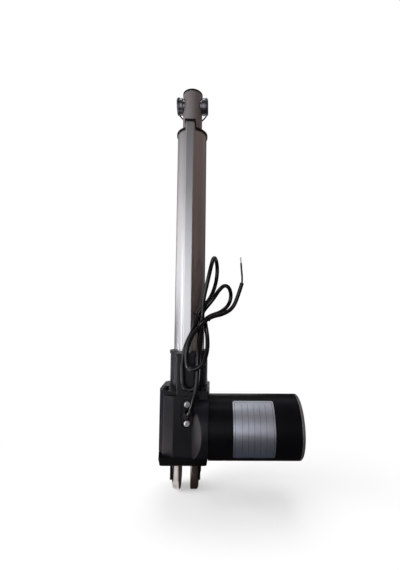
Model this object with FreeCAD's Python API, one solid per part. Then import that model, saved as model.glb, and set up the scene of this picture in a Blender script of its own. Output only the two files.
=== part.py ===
"""Electric linear actuator: worm gear motor across a keyhole-section tube, rod in its retracted position.

Frame: millimetres, origin where the tube axis meets the rear pivot axis, +Z along the stroke, +X along the
pivot bores and towards the motor, -Y towards the duct, the cable clamp and the cable.
"""
import FreeCAD
import Part
import math
import os
from FreeCAD import Placement, Rotation, Vector

# Clearances
RUN = 0.05            # radial, turning and sliding fits
SEAT = 0.02           # between pieces that are seated for good
FREE = 0.5            # between pieces that pass each other

# Stroke and pivots
FRONT_PIVOT_RISE = 35.0   # front bore above the tube's end cap, rod in
STROKE_RESERVE = 22.7     # tube length left between the nut and the rod guide at full stroke
PIVOT_BORE_R = 5.1

# Rear clevis
CLEVIS_X = -1.6           # the fork sits a little off the tube axis
EAR_GAP = 10.6
EAR_THICKNESS = 8.0
EAR_R = 12.8
CLEVIS_FLANGE = 4.0       # thickness of the flange trapped under the gear housing
CLEVIS_FLANGE_LIP = 3.5   # how far the flange stands out beyond the ears

# Rear cover
COVER_Z = 26.0            # underside, above the rear pivot
COVER_HEIGHT = 7.5
COVER_LIP = 1.5           # the plinth stands proud of the front flat
COVER_FRONT_LEFT = 24.5
COVER_CORNER_R = 1.6
COVER_DRAFT = 1.2         # the plinth narrows by this much on each side, downwards
COVER_CHAMFER = 0.5       # under edge
COVER_ROUND = 0.8         # upper edge
TONGUE_THICKNESS = 2.2
TONGUE_HALF = 10.5
TONGUE_END_Z = 0.0
TONGUE_NOTCH_R = 7.0

# Gear housing
HOUSING_HEIGHT = 56.5
HOUSING_LEFT = 27.5
HOUSING_RIGHT = 22.3
HOUSING_BACK = 27.0
BACK_CORNER = 11.0        # size of the bevels at the back corners
FLAT_FRONT = 38.0         # front flat, from the tube axis
FLAT_LEFT = 11.2
FLAT_RIGHT = 6.8
BEVEL_LEFT_X = 21.5       # where the wide left bevel ends
BEVEL_LEFT_Y = 32.3
SIDE_FRONT_Y = 20.0       # where the left side starts
SHOULDER_Y = 31.8         # front of the right shoulder
CORNER_R = 1.2
BARREL_R = 32.5           # worm barrel that carries the motor
FLARE_ANGLE = 52.0        # facet from the front flat out to the barrel, from the X axis

# Worm drive
MODULE = 1.0
WHEEL_TEETH = 25
WORM_PITCH_R = 5.5
WORM_TURNS = 6
WORM_HEIGHT = 23.0        # worm axis above the floor of the gear housing
WHEEL_WIDTH = 10.0
WHEEL_HUB_R = 9.0
WHEEL_HUB_LENGTH = 14.0
PRESSURE_ANGLE = 20.0
TOOTH_SHARE = 0.42        # tooth thickness over pitch, the rest is the backlash

# Bearings
SCREW_BEARING_R = 14.0
SCREW_BEARING_WIDTH = 8.0
SCREW_BEARING_REACH = 10.0    # from the worm axis to the near face of each screw bearing
SHAFT_BEARING_R = 11.0
SHAFT_BEARING_WIDTH = 7.0
SHIELD_RECESS = 0.6
SHIELD_EDGE = 1.8
TIP_BUSH_R = 5.5
TIP_BUSH_LENGTH = 6.0
WORM_ROOM = 1.0               # room around the teeth
BEARING_X = 13.0              # worm side of the motor shaft's front bearing
TIP_X = 15.0                  # inner face of the bush at the worm's tip

# Lead screw and nut
SCREW_R = 6.0
SCREW_COLLAR_R = 8.5
SCREW_COLLAR = 3.5
SCREW_OVERRUN = 2.0           # screw left above the nut's spigot at full stroke
SCREW_STOP_R = 7.5
SCREW_STOP = 3.0
NUT_LENGTH = 20.0
NUT_SPIGOT = 14.0
NUT_FLOOR_GAP = 5.0           # rod in: nut above the socket floor
NUT_KEY_HALF = 3.0
NUT_KEY_FRONT = 19.5

# Outer tube
TUBE_R = 16.35
TUBE_WALL = 2.0
TUBE_LENGTH = 279.7
FIN_HALF = 4.75
FIN_FRONT = 30.0
FIN_WALL = 1.5
FIN_EDGE = 1.5

# Tube socket
NECK_HEIGHT = 41.0
NECK_R = 20.0
NECK_HALF = 9.0
NECK_FRONT = 37.0
NECK_LIP = 0.8
NECK_LIP_HEIGHT = 3.0
SOCKET_FLOOR = 3.0
SOCKET_FLANGE = 4.0
GRUB_HOLE_R = 1.2
GRUB_HOLE_X = -1.2
GRUB_HOLE_RISE = 6.3
GRUB_HOLE_DEPTH = 2.5
SCREW_PASS_R = 8.0            # hole in the socket floor for the lead screw

# Tube end cap, guide and wiper
CAP_THICKNESS = 2.3
CAP_RIM = 1.1
GUIDE_LENGTH = 32.0
WIPER_WIDTH = 2.0

# Rod
ROD_R = 11.0
ROD_WALL = 2.0
ROD_ABOVE_PIVOT = 12.5
ROD_CAP = 1.5
ROD_CAP_RIM = 0.4
ROD_CAP_SPIGOT = 2.8
BUSH_FLANGE_R = 9.0
BUSH_FLANGE = 6.7             # length of a bush's flange, outside the rod
BUSH_SLEEVE_R = 7.0           # part of a bush that sits in the rod
BUSH_CHAMFER = 0.6
GROOVE_INSET = 2.1            # middle of the bail's groove, in from the end of a bush
GROOVE_WIDTH = 2.4
GROOVE_DEPTH = 1.0

# Wire bail
WIRE_R = 0.8
BAIL_ROOM = 0.4               # between the bow and the back of the rod
BAIL_DROP = 45.0              # degrees below the horizontal, behind the rod

# Motor
MOTOR_R = 31.5
MOTOR_Y = -(WORM_PITCH_R + MODULE * WHEEL_TEETH / 2)
MOTOR_CAN_LENGTH = 87.5
MOTOR_WALL = 2.0
MOTOR_PLATE = 3.0
MOTOR_SPIGOT_R = 16.0
MOTOR_SPIGOT = 2.3
END_CAP_THICKNESS = 2.7
END_CAP_BOSS_R = 13.5
END_CAP_EDGE = 0.8
SHAFT_R = 4.0
MAGNET_THICKNESS = 5.5
MAGNET_ARC = 140.0
AIR_GAP = 0.8
CORE_X = 20.0                 # from the can's front to the armature core
WINDING_REACH = 7.0
WINDING_R = 19.0
WINDING_BORE_R = 6.0
CORE_SLOTS = 12
SLOT_HALF = 1.3
SLOT_DEPTH = 6.0
COMMUTATOR_R = 9.0
COMMUTATOR_LENGTH = 10.0
COMMUTATOR_GAP = 1.0
COMMUTATOR_ROOM = 5.0         # between the commutator and the rear bearing
BRUSH_HALF = 3.0
BRUSH_LENGTH = 9.0
BRUSH_PLATE = 2.0
BOLT_R = 1.6
BOLT_HEAD_R = 3.2
BOLT_HEAD = 1.6
BOLT_OFFSET = 26.5            # motor bolts, from the motor axis along Y
BOLT_REACH = 6.0              # thread length in the gear housing

# Housing screws
HOUSING_SCREW_R = 1.75
HOUSING_SCREW_HEAD_R = 3.1
HOUSING_SCREW_HEAD = 2.8
HOUSING_SCREW_REACH = 12.0
SCREW_INSET = 5.5             # screw centres, in from the outline
SCREW_INSET_LEFT = 11.0       # the same under the left bevels

# Limit switches
BOARD_THICKNESS = 1.2
BOARD_HALF = 3.0
BOARD_MARGIN = 5.0
SWITCH_LENGTH = 12.0
SWITCH_HALF = 2.6
SWITCH_FRONT = 20.3           # working face, towards the nut's key

# Cable clamp
CLAMP_X = 1.8
CLAMP_DROP = 16.2             # clamp centre below the top of the gear housing
CLAMP_HALF = 5.3
CLAMP_LENGTH = 25.6
CLAMP_GAP = 0.6           # open slit between the plate and the wall of its recess
CLAMP_RECESS = 2.0
CLAMP_THICKNESS = 1.6
CLAMP_SCREW_SPACING = 17.6
CLAMP_SCREW_R = 1.5
CLAMP_SCREW_HEAD_R = 2.8
CLAMP_SCREW_HEAD = 1.8
CLAMP_SCREW_REACH = 8.0
NOZZLE_R = 3.2
NOZZLE_LENGTH = 5.5

# Cable: hand-chosen points of its route, from the clamp to the end of its sheath
CABLE_DATUM = 90.0        # level of the gear housing's top that the points belong to
CABLE_R = 2.1
CABLE_EXIT = [
    (1.0, -34.5, 68.5), (3.4, -45.5, 81.0), (6.8, -48.5, 94.0), (9.8, -48.0, 107.5),
    (10.4, -46.0, 125.5), (10.0, -39.5, 143.5), (12.2, -28.0, 158.5),
]
UPPER_LOOP_A = [
    (13.0, -26.5, 168.0), (15.6, -29.0, 182.0), (19.9, -32.0, 201.0), (23.6, -31.0, 217.5),
    (26.0, -22.5, 228.0), (28.4, -11.5, 228.0), (30.0, -4.0, 218.0), (28.5, -5.0, 203.0),
    (24.0, -13.0, 187.0), (15.5, -23.5, 170.0),
]
LOWER_LOOP_A = [
    (12.4, -25.5, 164.5), (6.9, -33.0, 154.0), (1.6, -37.5, 143.5), (-1.8, -40.4, 133.5),
    (-3.2, -40.4, 122.0), (-2.4, -40.4, 110.5), (-1.8, -40.4, 101.4), (1.9, -40.4, 97.7),
    (7.1, -40.5, 97.7), (10.8, -40.7, 101.4), (11.6, -41.2, 111.0), (12.6, -38.6, 128.0),
    (14.0, -31.0, 152.0), (14.4, -26.0, 166.0),
]
UPPER_LOOP_B = [
    (15.2, -26.0, 170.0), (21.7, -28.0, 179.5), (26.7, -28.5, 186.0), (31.8, -25.5, 194.0),
    (37.0, -18.0, 199.6), (42.5, -9.5, 198.0), (45.0, -4.0, 188.5), (42.0, -5.0, 178.5),
    (33.1, -9.5, 172.0), (18.0, -24.5, 169.8),
]
LOWER_LOOP_B = [
    (16.8, -26.0, 164.5), (19.6, -31.5, 156.5), (21.8, -39.0, 146.5), (22.4, -46.0, 136.5),
    (20.0, -50.5, 127.5), (14.6, -52.2, 120.8), (7.5, -51.5, 117.2), (2.5, -48.5, 120.5),
    (1.0, -46.3, 129.5), (2.8, -44.2, 140.5), (7.0, -39.5, 150.5), (14.0, -28.6, 163.0),
]
CABLE_TAIL = [
    (17.2, -25.5, 166.0), (26.0, -23.0, 167.0), (36.0, -20.0, 169.5), (46.0, -18.5, 176.0),
    (51.4, -18.5, 188.0), (56.0, -18.5, 202.5),
]
CORE_ROUTE = [(56.0, 202.5), (56.1, 209.5), (55.4, 216.5), (54.9, 223.5)]
CORE_Y = -18.5
CORE_R = 0.9
CORE_SPREAD = 1.0
TIP_R = 0.6
TIP_LENGTH = 6.3

# Hank: the bundle where the tie holds the turns
HANK_CENTRE = Vector(15.4, -25.6, 166.0)
HANK_TILT = 23.6
HANK_LENGTH = 15.0
HANK_R = 4.6
HANK_HALF = 2.9
TIE_THICKNESS = 0.9
TIE_WIDTH = 2.2

# Levels and radii that follow
housing_z = COVER_Z + COVER_HEIGHT
housing_top = housing_z + HOUSING_HEIGHT
neck_top = housing_top + NECK_HEIGHT
worm_z = housing_z + WORM_HEIGHT
tube_z = housing_top + SOCKET_FLOOR
tube_top = tube_z + TUBE_LENGTH
tube_bore = TUBE_R - TUBE_WALL
duct_half = FIN_HALF - FIN_WALL
duct_front = FIN_FRONT - FIN_WALL
stroke = TUBE_LENGTH - NUT_FLOOR_GAP - NUT_LENGTH - STROKE_RESERVE - GUIDE_LENGTH
front_pivot_z = tube_top + CAP_THICKNESS + FRONT_PIVOT_RISE
nut_z = tube_z + NUT_FLOOR_GAP
rod_z = nut_z + NUT_LENGTH
rod_top = front_pivot_z + ROD_ABOVE_PIVOT
rod_bore = ROD_R - ROD_WALL
bush_half = ROD_R + SEAT + BUSH_FLANGE
groove_x = bush_half - GROOVE_INSET
screw_top = rod_z + NUT_SPIGOT + stroke + SCREW_OVERRUN
lower_bearing_z = worm_z - SCREW_BEARING_REACH - SCREW_BEARING_WIDTH
upper_bearing_z = worm_z + SCREW_BEARING_REACH
can_x = HOUSING_RIGHT
can_end = can_x + MOTOR_CAN_LENGTH
can_bore = MOTOR_R - MOTOR_WALL
core_x = can_x + CORE_X
core_r = can_bore - MAGNET_THICKNESS - AIR_GAP
rear_bearing_x = can_end - SHAFT_BEARING_WIDTH
commutator_x = rear_bearing_x - COMMUTATOR_ROOM - COMMUTATOR_LENGTH
core_length = commutator_x - COMMUTATOR_GAP - WINDING_REACH - core_x
worm_tip_r = WORM_PITCH_R + MODULE
worm_root_r = WORM_PITCH_R - 1.25 * MODULE
wheel_pitch_r = MODULE * WHEEL_TEETH / 2
wheel_tip_r = wheel_pitch_r + MODULE
wheel_root_r = wheel_pitch_r - 1.25 * MODULE
worm_pitch = math.pi * MODULE
ear_outer = EAR_GAP / 2 + EAR_THICKNESS
clamp_z = housing_top - CLAMP_DROP
clamp_floor = -FLAT_FRONT + CLAMP_RECESS
clamp_face = clamp_floor - CLAMP_THICKNESS
cable_lift = Vector(0, 0, housing_top - CABLE_DATUM)
cover_shank_top = COVER_Z + HOUSING_SCREW_HEAD + HOUSING_SCREW_REACH
socket_shank_end = housing_top + SOCKET_FLANGE - HOUSING_SCREW_REACH
brush_x = commutator_x + COMMUTATOR_LENGTH / 2

# Screw places that follow: two in front, two behind
screw_ring = (NECK_R + HOUSING_SCREW_HEAD_R + FREE) * math.sqrt(0.5)
cover_screws = (
    (-HOUSING_LEFT + SCREW_INSET_LEFT, -SHOULDER_Y + SCREW_INSET),
    (HOUSING_RIGHT - SCREW_INSET, -SHOULDER_Y + SCREW_INSET),
    (HOUSING_RIGHT - BACK_CORNER, HOUSING_BACK - SCREW_INSET),
    (-HOUSING_LEFT + BACK_CORNER, HOUSING_BACK - SCREW_INSET),
)
socket_screws = (
    (-BEVEL_LEFT_X, -SIDE_FRONT_Y),
    (HOUSING_RIGHT - SCREW_INSET, -SHOULDER_Y + SCREW_INSET),
    (screw_ring, screw_ring),
    (-screw_ring, screw_ring),
)

X_AXIS = Vector(1, 0, 0)
Y_AXIS = Vector(0, 1, 0)
Z_AXIS = Vector(0, 0, 1)


def box(x0, x1, y0, y1, z0, z1):
    return Part.makeBox(x1 - x0, y1 - y0, z1 - z0, Vector(x0, y0, z0))


def rod_z_axis(radius, z0, z1, x=0.0, y=0.0):
    return Part.makeCylinder(radius, z1 - z0, Vector(x, y, z0), Z_AXIS)


def ring_z(inner, outer, z0, z1):
    return rod_z_axis(outer, z0, z1).cut(rod_z_axis(inner, z0, z1))


def rod_x(radius, x0, x1, y=MOTOR_Y, z=worm_z):
    return Part.makeCylinder(radius, x1 - x0, Vector(x0, y, z), X_AXIS)


def ring_x(inner, outer, x0, x1, y=MOTOR_Y, z=worm_z):
    return rod_x(outer, x0, x1, y, z).cut(rod_x(inner, x0, x1, y, z))


def fused(shapes):
    return shapes[0].multiFuse(shapes[1:]).removeSplitter()


def arc_through(a, b, c):
    return Part.Arc(a, b, c).toShape()


def line(a, b):
    return Part.LineSegment(a, b).toShape()


def rounded_path(points, radii, closed):
    """Edges of straight runs joined by tangent arcs. radii gives the arc at each inner point."""
    count = len(points)
    corners = range(count) if closed else range(1, count - 1)
    tangents = {}
    for n in corners:
        here = points[n]
        back = (points[n - 1] - here).normalize()
        ahead = (points[(n + 1) % count] - here).normalize()
        half = back.getAngle(ahead) / 2
        reach = radii[n] / math.tan(half)
        middle = (back + ahead).normalize()
        depth = radii[n] / math.sin(half) - radii[n]
        tangents[n] = (here + back * reach, here + middle * depth, here + ahead * reach)
    edges = []
    for n in range(count if closed else count - 1):
        start = tangents[n][2] if n in tangents else points[n]
        after = (n + 1) % count
        end = tangents[after][0] if after in tangents else points[after]
        if start.distanceToPoint(end) > 1e-6:
            edges.append(line(start, end))
        if after in tangents:
            edges.append(arc_through(*tangents[after]))
    return edges


def rounded_wire(outline, radius, z):
    """Plan outline at one level, with every corner rounded."""
    points = [Vector(x, y, z) for x, y in outline]
    return Part.Wire(Part.__sortEdges__(rounded_path(points, [radius] * len(points), True)))


def rounded_prism(outline, radius, z0, z1):
    """Prism of a plan outline with every corner rounded."""
    return Part.Face(rounded_wire(outline, radius, z0)).extrude(Vector(0, 0, z1 - z0))


def edges_at_level(solid, z):
    """Edges that lie in one horizontal plane."""
    return [e for e in solid.Edges if all(abs(v.Z - z) < 1e-4 for v in e.Vertexes)]


def keyhole(radius, half, front, edge, z0, z1):
    """Round tube section with a rectangular duct in front, its two front edges rounded."""
    side = math.sqrt(radius * radius - half * half)
    diagonal = edge * (1 - math.sqrt(0.5))
    right = [Vector(half, -side, z0), Vector(half, -front + edge, z0), Vector(half - edge, -front, z0)]
    left = [Vector(-p.x, p.y, z0) for p in right]
    corner = Vector(half - diagonal, -front + diagonal, z0)
    edges = [
        arc_through(right[0], Vector(0, radius, z0), left[0]),
        line(left[0], left[1]),
        arc_through(left[1], Vector(-corner.x, corner.y, z0), left[2]),
        line(left[2], right[2]),
        arc_through(right[2], corner, right[1]),
        line(right[1], right[0]),
    ]
    return Part.Face(Part.Wire(edges)).extrude(Vector(0, 0, z1 - z0))


def bearing(inner, outer, width, place):
    """Shielded ball bearing along +Z, then moved to its place."""
    solid = ring_z(inner, outer, 0, width)
    recess = ring_z(inner + SHIELD_EDGE, outer - SHIELD_EDGE, 0, SHIELD_RECESS)
    solid = solid.cut(recess)
    recess.translate(Vector(0, 0, width - SHIELD_RECESS))
    solid = solid.cut(recess)
    solid.Placement = place
    return solid


def along_x(x):
    """Placement that lays a piece built along +Z on the motor axis, its foot at x."""
    return Placement(Vector(x, MOTOR_Y, worm_z), Rotation(Y_AXIS, 90))


def housing_plan(grow=0.0):
    """Plan of the gear housing: front flat, bevels and square right side."""
    left = -HOUSING_LEFT - grow
    right = HOUSING_RIGHT
    back = HOUSING_BACK + grow
    return [
        (-FLAT_LEFT, -FLAT_FRONT),
        (FLAT_RIGHT, -FLAT_FRONT),
        (FLAT_RIGHT + FLAT_FRONT - SHOULDER_Y, -SHOULDER_Y),
        (right, -SHOULDER_Y),
        (right, back - BACK_CORNER),
        (right - BACK_CORNER, back),
        (left + BACK_CORNER, back),
        (left, back - BACK_CORNER),
        (left, -SIDE_FRONT_Y),
        (-BEVEL_LEFT_X, -BEVEL_LEFT_Y),
    ]


def screw_group(places, z_head, radius, head_r, head, reach, up):
    """Identical screws along Z: heads at z_head, shanks reaching up or down."""
    solids = []
    for x, y in places:
        if up:
            parts = [
                rod_z_axis(head_r, z_head, z_head + head, x, y),
                rod_z_axis(radius, z_head + head, z_head + head + reach, x, y),
            ]
        else:
            parts = [
                rod_z_axis(head_r, z_head, z_head + head, x, y),
                rod_z_axis(radius, z_head - reach, z_head, x, y),
            ]
        solids.append(fused(parts))
    return solids


def holes(places, radius, z0, z1):
    return [rod_z_axis(radius, z0, z1, x, y) for x, y in places]


def clamp_stadium(half, length, y0, y1):
    """Upright oblong on the front flat, rounded at both ends."""
    flank = length / 2 - half
    block = box(CLAMP_X - half, CLAMP_X + half, y0, y1, clamp_z - flank, clamp_z + flank)
    ends = [
        Part.makeCylinder(half, y1 - y0, Vector(CLAMP_X, y0, clamp_z + s * flank), Y_AXIS) for s in (-1, 1)
    ]
    return fused([block] + ends)


def clamp_holes(radius, y0, y1):
    return [
        Part.makeCylinder(radius, y1 - y0, Vector(CLAMP_X, y0, clamp_z + s * CLAMP_SCREW_SPACING / 2), Y_AXIS)
        for s in (-1, 1)
    ]


def cable_way(radius, before, after):
    """Straight bore along the cable's first run, from before its start to after it."""
    start, end = [Vector(*p) + cable_lift for p in CABLE_EXIT[:2]]
    way = (end - start).normalize()
    return Part.makeCylinder(radius, before + after, start - way * before, way)


def make_gear_housing():
    """Moulded body: faceted block and worm barrel, hollow for the wheel, worm and bearings."""
    body = rounded_prism(housing_plan(), CORNER_R, housing_z, housing_top)
    barrel = rod_x(BARREL_R, -HOUSING_LEFT, HOUSING_RIGHT)
    barrel = barrel.common(box(-HOUSING_LEFT, HOUSING_RIGHT, -FLAT_FRONT * 2, 0, housing_z, housing_top))
    # the flare faces front-left: a slanted plane through the right edge of the front flat
    reach = 2 * FLAT_FRONT
    aside = reach * math.cos(math.radians(FLARE_ANGLE))
    ahead = reach * math.sin(math.radians(FLARE_ANGLE))
    flare = Part.Face(Part.makePolygon([
        Vector(FLAT_RIGHT, -FLAT_FRONT, housing_z),
        Vector(FLAT_RIGHT + aside, -FLAT_FRONT - ahead, housing_z),
        Vector(-reach, -FLAT_FRONT - ahead, housing_z),
        Vector(-reach, -FLAT_FRONT, housing_z),
        Vector(FLAT_RIGHT, -FLAT_FRONT, housing_z),
    ])).extrude(Vector(0, 0, HOUSING_HEIGHT))
    barrel = barrel.cut(flare).cut(box(-HOUSING_LEFT, 0, -FLAT_FRONT * 2, 0, housing_z, housing_top))
    body = fused([body, barrel])
    chamber = rod_z_axis(wheel_tip_r + WORM_ROOM, lower_bearing_z + SCREW_BEARING_WIDTH, upper_bearing_z)
    cuts = [
        chamber,
        rod_z_axis(SCREW_BEARING_R + SEAT, lower_bearing_z, lower_bearing_z + SCREW_BEARING_WIDTH),
        rod_z_axis(SCREW_BEARING_R + SEAT, upper_bearing_z, upper_bearing_z + SCREW_BEARING_WIDTH),
        rod_z_axis(SCREW_PASS_R, upper_bearing_z + SCREW_BEARING_WIDTH, housing_top),
        rod_x(worm_tip_r + WORM_ROOM, -TIP_X, BEARING_X),
        rod_x(SHAFT_BEARING_R + SEAT, BEARING_X, BEARING_X + SHAFT_BEARING_WIDTH),
        rod_x(MOTOR_SPIGOT_R + SEAT, BEARING_X + SHAFT_BEARING_WIDTH, HOUSING_RIGHT),
        rod_x(TIP_BUSH_R + SEAT, -TIP_X - TIP_BUSH_LENGTH, -TIP_X),
        clamp_stadium(CLAMP_HALF + CLAMP_GAP, CLAMP_LENGTH + 2 * CLAMP_GAP, -2 * FLAT_FRONT, clamp_floor),
        cable_way(CABLE_R + SEAT, SEAT, NOZZLE_LENGTH * 2),
    ]
    cuts += clamp_holes(CLAMP_SCREW_R + SEAT, -FLAT_FRONT, -FLAT_FRONT + CLAMP_SCREW_REACH)
    cuts += holes(cover_screws, HOUSING_SCREW_R + SEAT, housing_z, cover_shank_top)
    cuts += holes(socket_screws, HOUSING_SCREW_R + SEAT, socket_shank_end, housing_top)
    for side in (-1, 1):
        y = MOTOR_Y + side * BOLT_OFFSET
        cuts.append(rod_x(BOLT_R + SEAT, HOUSING_RIGHT - BOLT_REACH, HOUSING_RIGHT, y))
    return body.cut(Part.makeCompound(cuts))


def cover_plan(inset):
    """Plan of the plinth, drawn in on every side."""
    front = FLAT_FRONT + COVER_LIP - inset
    left = -HOUSING_LEFT + inset
    right = HOUSING_RIGHT - inset
    back = HOUSING_BACK - inset
    return [
        (-COVER_FRONT_LEFT + inset, -front),
        (right, -front),
        (right, back - BACK_CORNER),
        (right - BACK_CORNER, back),
        (left + BACK_CORNER, back),
        (left, back - BACK_CORNER),
        (left, -SIDE_FRONT_Y + inset),
    ]


def make_rear_cover():
    """Plinth under the gear housing, with the clevis window and a tongue outside each ear."""
    half_y = EAR_R
    plinth = Part.makeLoft([
        rounded_wire(cover_plan(COVER_DRAFT), COVER_CORNER_R, COVER_Z),
        rounded_wire(cover_plan(0), COVER_CORNER_R, housing_z),
    ], True, True)
    plinth = plinth.makeChamfer(COVER_CHAMFER, edges_at_level(plinth, COVER_Z))
    plinth = plinth.makeFillet(COVER_ROUND, edges_at_level(plinth, housing_z))
    tongues = []
    for side in (-1, 1):
        inner = CLEVIS_X + side * (ear_outer + SEAT)
        outer = CLEVIS_X + side * (ear_outer + SEAT + TONGUE_THICKNESS)
        plate = box(min(inner, outer), max(inner, outer), -TONGUE_HALF, TONGUE_HALF, TONGUE_END_Z,
                    COVER_Z + COVER_CHAMFER)
        notch = rod_x(TONGUE_NOTCH_R, min(inner, outer), max(inner, outer), 0, 0)
        tongues.append(plate.cut(notch))
    reach = ear_outer + SEAT
    window = box(CLEVIS_X - reach, CLEVIS_X + reach, -half_y - SEAT, half_y + SEAT, COVER_Z, housing_z)
    lip = reach + CLEVIS_FLANGE_LIP
    lip_y = half_y + CLEVIS_FLANGE_LIP + SEAT
    pocket = box(CLEVIS_X - lip, CLEVIS_X + lip, -lip_y, lip_y, housing_z - CLEVIS_FLANGE, housing_z)
    cuts = [window, pocket]
    cuts += holes(cover_screws, HOUSING_SCREW_R + SEAT, COVER_Z, housing_z)
    cuts += holes(cover_screws, HOUSING_SCREW_HEAD_R + SEAT, COVER_Z, COVER_Z + HOUSING_SCREW_HEAD)
    return fused([plinth] + tongues).cut(Part.makeCompound(cuts))


def make_rear_clevis():
    """Fork: two ears with one bore, bridged above the gap by a flange."""
    left, right = CLEVIS_X - ear_outer, CLEVIS_X + ear_outer
    ears = box(left, right, -EAR_R, EAR_R, 0, housing_z)
    ears = ears.fuse(rod_x(EAR_R, left, right, 0, 0))
    lip = CLEVIS_FLANGE_LIP
    lip_y = EAR_R + CLEVIS_FLANGE_LIP
    flange = box(left - lip, right + lip, -lip_y, lip_y, housing_z - CLEVIS_FLANGE, housing_z)
    fork = fused([ears, flange])
    gap = box(CLEVIS_X - EAR_GAP / 2, CLEVIS_X + EAR_GAP / 2, -EAR_R, EAR_R, -EAR_R, COVER_Z)
    return fork.cut(gap).cut(rod_x(PIVOT_BORE_R, left, right, 0, 0))


def make_tube_socket():
    """Neck that holds the tube: keyhole sleeve with a lip, on a flange screwed to the gear housing."""
    sleeve = keyhole(NECK_R, NECK_HALF, NECK_FRONT, FIN_EDGE, housing_top, neck_top)
    rim = keyhole(NECK_R + NECK_LIP, NECK_HALF + NECK_LIP, NECK_FRONT + NECK_LIP, FIN_EDGE,
                  neck_top - NECK_LIP_HEIGHT, neck_top)
    flange_top = housing_top + SOCKET_FLANGE
    flange = rounded_prism(housing_plan(), CORNER_R, housing_top, flange_top)
    ahead = box(-HOUSING_LEFT, HOUSING_RIGHT, -FLAT_FRONT, -SHOULDER_Y, housing_top, flange_top)
    flange = flange.cut(ahead)
    body = fused([sleeve, rim, flange])
    bore = keyhole(TUBE_R + SEAT, FIN_HALF + SEAT, FIN_FRONT + SEAT, FIN_EDGE, tube_z, neck_top)
    passage = rod_z_axis(SCREW_PASS_R, housing_top, tube_z)
    grub = Part.makeCylinder(
        GRUB_HOLE_R, GRUB_HOLE_DEPTH, Vector(GRUB_HOLE_X, -NECK_FRONT, housing_top + GRUB_HOLE_RISE), Y_AXIS)
    cuts = [bore, passage, grub]
    cuts += holes(socket_screws, HOUSING_SCREW_R + SEAT, housing_top, flange_top)
    return body.cut(Part.makeCompound(cuts))


def make_outer_tube():
    """Extruded keyhole tube: the duct opens into the bore along its whole length."""
    outside = keyhole(TUBE_R, FIN_HALF, FIN_FRONT, FIN_EDGE, tube_z, tube_top)
    return outside.cut(keyhole(tube_bore, duct_half, duct_front, SEAT, tube_z, tube_top))


def make_tube_end_cap():
    """Black cap of the same keyhole outline, a little larger, with the wiper's seat."""
    plate = keyhole(TUBE_R + CAP_RIM, FIN_HALF + CAP_RIM, FIN_FRONT + CAP_RIM, FIN_EDGE, tube_top,
                    tube_top + CAP_THICKNESS)
    return plate.cut(rod_z_axis(ROD_R + WIPER_WIDTH + SEAT, tube_top, tube_top + CAP_THICKNESS))


def make_drive_nut():
    """Nut with a guide collar, a key that runs in the tube's slot, and a spigot for the rod."""
    collar = rod_z_axis(tube_bore - RUN, nut_z, rod_z)
    key = box(-NUT_KEY_HALF, NUT_KEY_HALF, -NUT_KEY_FRONT, -SCREW_R, nut_z, rod_z)
    spigot = rod_z_axis(rod_bore - SEAT, rod_z, rod_z + NUT_SPIGOT)
    nut = fused([collar, key, spigot])
    return nut.cut(rod_z_axis(SCREW_R + RUN, nut_z, rod_z + NUT_SPIGOT))


def make_lead_screw():
    """Screw with a bearing journal and a thrust collar; its thread is left plain."""
    journal_top = upper_bearing_z + SCREW_BEARING_WIDTH
    journal = rod_z_axis(SCREW_R - RUN, lower_bearing_z, journal_top)
    thread = rod_z_axis(SCREW_R, journal_top, screw_top)
    collar = rod_z_axis(SCREW_COLLAR_R, upper_bearing_z - FREE - SCREW_COLLAR, upper_bearing_z - FREE)
    return fused([journal, thread, collar])


def wheel_outline(z, turn):
    """Tooth outline of the worm wheel at one level, turned about the screw axis."""
    slope = math.tan(math.radians(PRESSURE_ANGLE))
    thick = TOOTH_SHARE * worm_pitch
    tip_half = (thick / 2 - MODULE * slope) / wheel_tip_r
    root_half = (thick / 2 + 1.25 * MODULE * slope) / wheel_root_r
    points = []
    for n in range(WHEEL_TEETH):
        middle = -math.pi / 2 + (n + 0.5) * 2 * math.pi / WHEEL_TEETH + turn
        flank = ((wheel_root_r, -root_half), (wheel_tip_r, -tip_half), (wheel_tip_r, tip_half),
                 (wheel_root_r, root_half))
        for radius, aside in flank:
            angle = middle + aside
            points.append(Vector(radius * math.cos(angle), radius * math.sin(angle), z))
    return Part.makePolygon(points + points[:1])


def make_worm_wheel():
    """Wheel with teeth slanted at the worm's lead angle; a gap faces the worm at rest."""
    lead_slope = worm_pitch / (2 * math.pi * WORM_PITCH_R)
    turn = lead_slope * WHEEL_WIDTH / 2 / wheel_pitch_r
    outlines = [
        wheel_outline(worm_z - WHEEL_WIDTH / 2, -turn),
        wheel_outline(worm_z + WHEEL_WIDTH / 2, turn),
    ]
    rim = Part.makeLoft(outlines, True, True)
    hub_z = worm_z + WHEEL_WIDTH / 2 - WHEEL_HUB_LENGTH
    hub = rod_z_axis(WHEEL_HUB_R, hub_z, worm_z)
    return fused([rim, hub]).cut(rod_z_axis(SCREW_R - RUN + SEAT, hub_z, worm_z + WHEEL_WIDTH))


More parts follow.
